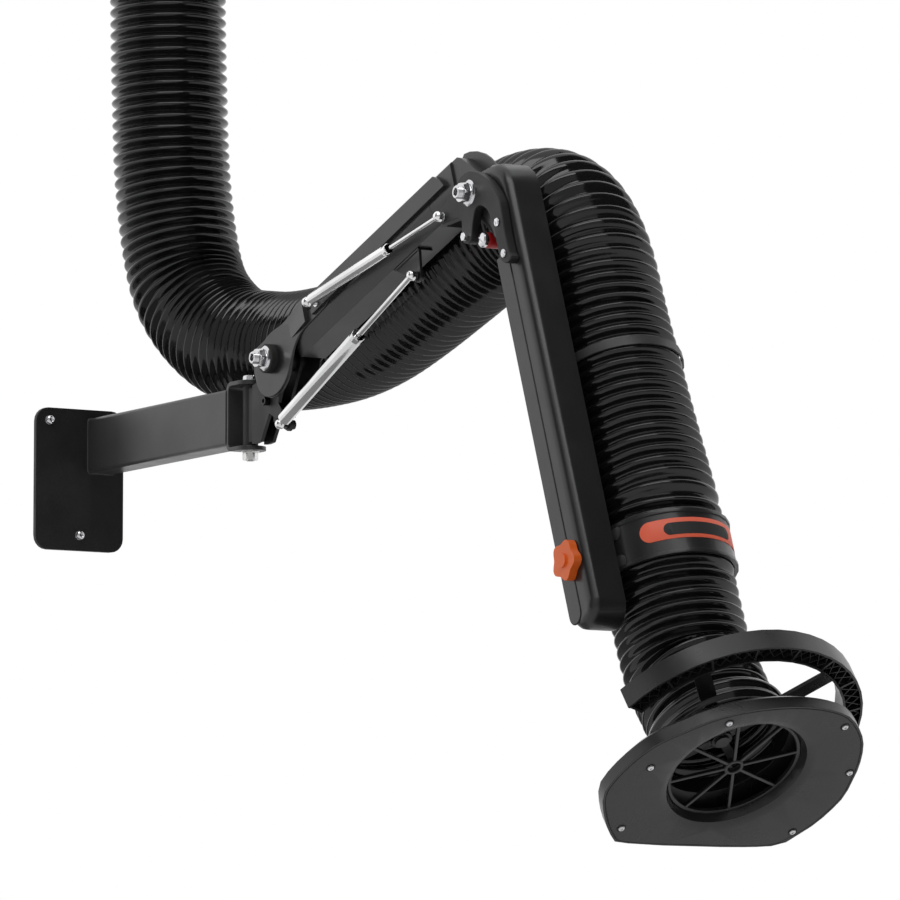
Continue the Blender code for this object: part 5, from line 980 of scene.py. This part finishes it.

# Hose: one ribbed duct of glossy black plastic from the wall duct to the hood. Its ribs run on from
# piece to piece; the pieces at the joints curve from one body to the next and are attached to neither.
HOSE_ROOT = 0.0768
RIB_DEPTH = 0.0082
RIB_PITCH = 0.0166
STATIONS_PER_RIB = 12
RIB_FULLNESS = 0.85
HOSE_SIDES = 56
HOSE_WALL = 0.0015
ROUTE_STEPS = 24
HOSE_SIDE = 0.118
RISER_PATH = ((0.091, 0.062, 0.775), (0.091, 0.062, 0.727), (0.091, 0.062, 0.680),
              (0.092, 0.063, 0.590), (0.094, 0.065, 0.490), (0.099, 0.067, 0.390),
              (0.115, 0.071, 0.290), (0.143, 0.076, 0.215))
BEND_PATH = ((-0.264, 0.087, 0.160), (-0.205, 0.098, 0.128), (-0.140, 0.110, 0.115),
             (-0.080, 0.117, 0.108))
ARM_PATH = ((0.001, 0.105), (0.081, 0.107), (0.161, 0.118), (0.250, 0.140), (0.351, 0.170),
            (0.451, 0.200), (0.551, 0.222), (0.636, 0.210), (0.699, 0.150), (0.747, 0.042),
            (0.804, -0.083), (0.835, -0.148))
HOOD_CENTRE = Vector((1.504, 0.118, -0.541))
HOOD_NORMAL = Vector((0.61566, 0, -0.78801))
HOOD_UP = Vector((0.78801, 0, 0.61566))
hose_plastic = finish('hose_plastic', (0.0070, 0.0070, 0.0074), 0.11, 260, 0.00001, cloud=0.25)


def on_hood(across, up, out):
    """A place on the hood: across and up its face, and out of it."""
    return HOOD_CENTRE + Vector((0, across, 0)) + HOOD_UP * up + HOOD_NORMAL * out


def smooth_route(knots):
    """A smooth line through the knots."""
    line = []
    for k in range(len(knots) - 1):
        here, there = knots[k], knots[k + 1]
        first = knots[k - 1] if k else here
        last = knots[k + 2] if k + 2 < len(knots) else there
        line += between(here, there, (there - first) / 2, (last - here) / 2, ROUTE_STEPS)
    line.append(knots[-1].copy())
    return line


knots = [Vector(p) for p in RISER_PATH]
knots += [Vector((SWIVEL_X + x, y, z)) for x, y, z in BEND_PATH]
knots += [Vector((SWIVEL_X + x, HOSE_SIDE, z)) for x, z in ARM_PATH]
knots += [on_outer(COLLAR_ALONG + d, COLLAR_ACROSS, COLLAR_SIDE) for d in (-0.070, -0.040, 0, 0.040, 0.068)]
knots += [on_hood(0, 0, d) for d in (-0.170, -0.130, -0.095, -0.075, -0.053)]
route = smooth_route(knots)
lengths = [0]
for first, second in zip(route, route[1:]):
    lengths.append(lengths[-1] + (second - first).length)
spacing = RIB_PITCH / STATIONS_PER_RIB
stations = []
segment = 0
for k in range(int(lengths[-1] / spacing) + 1):
    at = k * spacing
    while lengths[segment + 1] < at:
        segment += 1
    share = (at - lengths[segment]) / (lengths[segment + 1] - lengths[segment])
    stations.append(route[segment].lerp(route[segment + 1], share))

ribbing, given = geometry_tree('hose_ribbing', Pitch='Float', Root='Float', Depth='Float', Sides='Int')
length_at = node(ribbing, 'GeometryNodeInputNamedAttribute', data_type='FLOAT')
length_at.inputs['Name'].default_value = 'length'


def reckon(tree, operation, first, second=None):
    """A step of arithmetic in a tree, on sockets or plain values."""
    step = node(tree, 'ShaderNodeMath', operation=operation)
    for slot_number, value in enumerate((first, second)):
        if value is None:
            continue
        if isinstance(value, (int, float)):
            step.inputs[slot_number].default_value = value
        else:
            tree.links.new(value, step.inputs[slot_number])
    return step.outputs[0]


ribs = reckon(ribbing, 'DIVIDE', length_at.outputs[0], given.outputs['Pitch'])
phase = reckon(ribbing, 'FRACT', reckon(ribbing, 'ADD', ribs, 0.0001))
wave = reckon(ribbing, 'COSINE', reckon(ribbing, 'MULTIPLY', phase, math.tau))
round_crest = reckon(ribbing, 'POWER', reckon(ribbing, 'MULTIPLY', reckon(
    ribbing, 'SUBTRACT', 1, wave), 0.5), RIB_FULLNESS)
rib_reach = reckon(ribbing, 'ADD', given.outputs['Root'],
                   reckon(ribbing, 'MULTIPLY', round_crest, given.outputs['Depth']))
to_curve = node(ribbing, 'GeometryNodeMeshToCurve')
set_reach = node(ribbing, 'GeometryNodeSetCurveRadius')
circle = node(ribbing, 'GeometryNodeCurvePrimitiveCircle')
circle.inputs['Radius'].default_value = 1
sweep = node(ribbing, 'GeometryNodeCurveToMesh')
wire(ribbing, (given.outputs['Geometry'], to_curve.inputs[0]), (to_curve.outputs[0], set_reach.inputs[0]),
     (rib_reach, set_reach.inputs['Radius']), (given.outputs['Sides'], circle.inputs['Resolution']),
     (set_reach.outputs[0], sweep.inputs['Curve']), (circle.outputs[0], sweep.inputs['Profile Curve']),
     (rib_reach, sweep.inputs['Scale']))
end_tree(ribbing, sweep.outputs[0], hose_plastic)


def hose_piece(name, spots, first, root=HOSE_ROOT, depth=RIB_DEPTH):
    """A length of the hose through some stations, with its ribs counted from the first."""
    thing = piece_of(name, spots, [], [(k, k + 1) for k in range(len(spots) - 1)])
    marks = thing.data.attributes.new('length', 'FLOAT', 'POINT')
    for k, item in enumerate(marks.data):
        item.value = (first + k) * spacing
    grow(thing, ribbing, Pitch=RIB_PITCH, Root=root, Depth=depth, Sides=HOSE_SIDES)
    wall = thing.modifiers.new('wall', 'SOLIDIFY')
    wall.thickness = HOSE_WALL
    wall.offset = -1
    return made_plain(thing)


axis = on_outer(1, 0, 0) - on_outer(0, 0, 0)
collar_plane = on_outer(COLLAR_ALONG, COLLAR_ACROSS, COLLAR_SIDE)
ends = [0]
for test in (lambda p: p.z < 0.300, lambda p: p.x > 0.465, lambda p: p.x > 0.610,
             lambda p: p.x > 0.985, lambda p: p.x > UPPER_PIVOT.x and p.z < LIFT_HIGH.z,
             lambda p: (p - collar_plane).dot(axis) > 0):
    ends.append(next(k for k in range(ends[-1], len(stations)) if test(stations[k])))
ends.append(len(stations) - 1)
HOSE_PIECES = (('hose_riser', 'bracket', None), ('hose_swivel_bend', 'bracket', 'swivel'),
               ('hose_shoulder_bend', 'swivel', 'inner_arm'), ('hose_inner', 'inner_arm', None),
               ('hose_elbow_bend', 'inner_arm', 'outer_arm'), ('hose_outer', 'outer_arm', None),
               ('hose_tail', 'outer_arm', 'hood_neck'))
for (source, body, next_body), first, last in zip(HOSE_PIECES, ends, ends[1:]):
    part = hose_piece(source + '_dressed', stations[first:last + 1], first)
    settle(part, hose_plastic, None if next_body else body, 'hose_plastic', source)
    if next_body:
        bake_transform(part)

CUFF_ROOT = 0.0887
CUFF_DEPTH = 0.0046
CUFF_START = -0.0745
CUFF_END = -0.0345
cuff_count = round((CUFF_END - CUFF_START) / spacing)
cuff_spots = [on_hood(0, 0, CUFF_START + k * spacing) for k in range(cuff_count + 1)]
cuff = hose_piece('hose_cuff', cuff_spots, 0, CUFF_ROOT, CUFF_DEPTH)
settle(cuff, hose_plastic, 'hood', 'hose_plastic')

# Hose holders: a moulded hanger on the inner arm and a strap with a buckle round the hose on the
# outer arm.
holder_plastic = finish('holder_plastic', (0.030, 0.030, 0.031), 0.45, 500, 0.00005)
for source, body in (('hose_hanger', 'inner_arm'), ('hose_strap', 'outer_arm')):
    dress(source, holder_plastic, body, 'hose_plastic', 0.0005)

# Hood: a moulded funnel with a flat face set in its rim, an eight-spoked grille in the mouth and a
# ring handle behind it, all of satin black plastic. Six bright screws hold the face.
moulded_plastic = finish('moulded_plastic', (0.0115, 0.0115, 0.012), 0.30, 420, 0.00005, cloud=0.15)
dress('hood_shell', moulded_plastic, 'hood', 'hood_plastic', 0.0008)
dress('face_plate', moulded_plastic, 'hood', 'hood_plastic', 0.0007)
# The seam round the face is a thin near-black ring just inside the rim: painted shade of the gap between
# face and shell.
SEAM_OUTLINE = ((0.118, -0.131), (0.144, -0.110), (0.160, -0.088), (0.171, -0.060), (0.177, -0.032),
                (0.174, 0), (0.168, 0.032), (0.153, 0.070), (0.129, 0.100), (0.098, 0.122),
                (0.043, 0.133), (-0.023, 0.127), (-0.081, 0.107), (-0.123, 0.076), (-0.152, 0.048),
                (-0.170, 0.010), (-0.178, -0.028), (-0.174, -0.053), (-0.152, -0.091),
                (-0.132, -0.116), (-0.112, -0.132), (0, -0.136))
SEAM_INSET = 0.0036
SEAM_WIDTH = 0.0009
SEAM_LEVEL = 0.0141
SEAM_DEPTH = 0.0005
rows = []
for p in curved(SEAM_OUTLINE):
    row = []
    for over, down in ((0, 0), (SEAM_WIDTH, 0), (SEAM_WIDTH, SEAM_DEPTH), (0, SEAM_DEPTH)):
        q = p * (1 - (SEAM_INSET + over) / p.length)
        row.append(on_hood(q.x, q.y, SEAM_LEVEL - down))
    rows.append(row)
seam_shade = skin('face_seam', rows, closed=True)
settle(seam_shade, groove_paint, 'hood', 'hood_plastic')
GRILLE_RADIUS = 0.0887
GRILLE_INSIDE = 0.0839
GRILLE_BACK = -0.006
SPOKE_COUNT = 8
SPOKE_HALF_WIDTH = 0.0022
SPOKE_BACK = -0.0055
SPOKE_FRONT = -0.0006
HUB_RADIUS = 0.013
HUB_BORE = 0.0088
spoke_start = HUB_RADIUS - 0.001
spoke_end = GRILLE_INSIDE + 0.001
spoke = plate_form('spoke_form', ((spoke_start, -SPOKE_HALF_WIDTH), (spoke_end, -SPOKE_HALF_WIDTH),
                                  (spoke_end, SPOKE_HALF_WIDTH), (spoke_start, SPOKE_HALF_WIDTH)),
                   (SPOKE_BACK, SPOKE_FRONT), 0.0009, 2, lambda *p: Vector(p))
wheel, given = geometry_tree('spoke_wheel', Spoke='Object', Count='Int', Turn='Float')
hubs = node(wheel, 'GeometryNodePoints')
number = node(wheel, 'GeometryNodeInputIndex')
step_turn = reckon(wheel, 'DIVIDE', math.tau, given.outputs['Count'])
spoke_turn = reckon(wheel, 'ADD', reckon(wheel, 'MULTIPLY', number.outputs[0], step_turn),
                    given.outputs['Turn'])
spin = node(wheel, 'ShaderNodeCombineXYZ')
wire(wheel, (given.outputs['Count'], hubs.inputs['Count']), (spoke_turn, spin.inputs['Z']))
stand_on(wheel, given.outputs['Spoke'], hubs.outputs[0], spin.outputs[0], moulded_plastic)
spokes = made_plain(grow(piece_of('grille_spokes', [(0, 0, 0)], []), wheel, Spoke=spoke,
                         Count=SPOKE_COUNT, Turn=math.pi / SPOKE_COUNT))
bpy.data.objects.remove(spoke)
HOOD_TURN = Matrix((Vector((0, 1, 0)), HOOD_UP, HOOD_NORMAL)).transposed().to_4x4()
spokes.data.transform(Matrix.Translation(HOOD_CENTRE) @ HOOD_TURN)
turned_parts = [lathe(name, profile, HOOD_CENTRE, HOOD_NORMAL, sides, closed=True)
                for name, sides, profile in (
    ('grille_hub', 48, ((HUB_BORE + 0.0008, 0.0006), (HUB_RADIUS - 0.0012, 0.0006),
                        (HUB_RADIUS, -0.0006), (HUB_RADIUS, GRILLE_BACK - 0.0008),
                        (HUB_BORE, GRILLE_BACK - 0.0008), (HUB_BORE, -0.0002))),
    ('grille_hub_lip', 48, ((HUB_BORE, GRILLE_BACK), (HUB_BORE, GRILLE_BACK + 0.0012),
                            (HUB_BORE * 0.78, GRILLE_BACK + 0.0012), (HUB_BORE * 0.78, GRILLE_BACK))),
    ('grille_rim', 96, ((GRILLE_INSIDE, -0.0008), (GRILLE_INSIDE + 0.0008, 0),
                        (GRILLE_RADIUS - 0.0008, 0), (GRILLE_RADIUS, -0.0008),
                        (GRILLE_RADIUS, GRILLE_BACK), (GRILLE_INSIDE, GRILLE_BACK))))]
grille = joined('grille_dressed', [spokes] + turned_parts)
settle(grille, moulded_plastic, 'hood', 'hood_plastic', 'grille')
dress('handle_ring', moulded_plastic, 'hood', 'hood_plastic', 0.0007)
LATTICE_START = math.radians(7)
LATTICE_END = math.radians(159)
LATTICE_CELLS = 30
LATTICE_NEAR = -0.0395
LATTICE_DEEP = -0.0625
CHANNEL_INSIDE = 0.1636
CHANNEL_OUTSIDE = 0.1826
LATTICE_HALF = 0.0005
lattice = []
for k in range(LATTICE_CELLS):
    first, last = [LATTICE_START + (LATTICE_END - LATTICE_START) * i / LATTICE_CELLS for i in (k, k + 1)]
    for begin, finish_at in ((CHANNEL_INSIDE, CHANNEL_OUTSIDE), (CHANNEL_OUTSIDE, CHANNEL_INSIDE)):
        start = Vector((begin * math.cos(first), begin * math.sin(first), 0))
        stop = Vector((finish_at * math.cos(last), finish_at * math.sin(last), 0))
        along = (stop - start).normalized()
        side = Vector((-along.y, along.x, 0)) * LATTICE_HALF
        lattice.append(prism('lattice_rib', (start - side, start + side, stop + side, stop - side),
                             (LATTICE_NEAR, LATTICE_DEEP), on_hood))
lattice = joined('handle_lattice', lattice)
settle(lattice, moulded_plastic, 'hood', 'hood_plastic')
dress('tilt_link', arm_paint, 'hood_neck', 'black_paint', 0.0010)
FACE_SCREWS = ['face_screw_%d' % k for k in range(1, 7)]
SCREW_LIFT = 0.0004
screw_spots = [(box_middle(name) + HOOD_NORMAL * SCREW_LIFT, HOOD_NORMAL) for name in FACE_SCREWS]
screw_form = button_head('face_screw_form', radius=0.0040, height=0.0017, socket=0.0017, depth=0.0012,
                         washer=0.0042, washer_height=0.0005, foot=0.0004)
face_screws = set_out('face_screws', screw_form, screw_spots, bright_plating)
# Round each face screw lies a flat near-black ring just proud of the face: painted shade of the screw's
# recess.
well_shades = joined('screw_wells', [lathe('well', ((0.0036, 0.00015), (0.0062, 0.00015), (0.0064, -0.0003),
                                             (0.0036, -0.0003)), spot, HOOD_NORMAL, 32,
                                    closed=True) for spot, way in screw_spots])
settle(well_shades, groove_paint, 'hood', 'hood_plastic')
settle(face_screws, bright_plating, 'hood', 'chrome', *FACE_SCREWS)
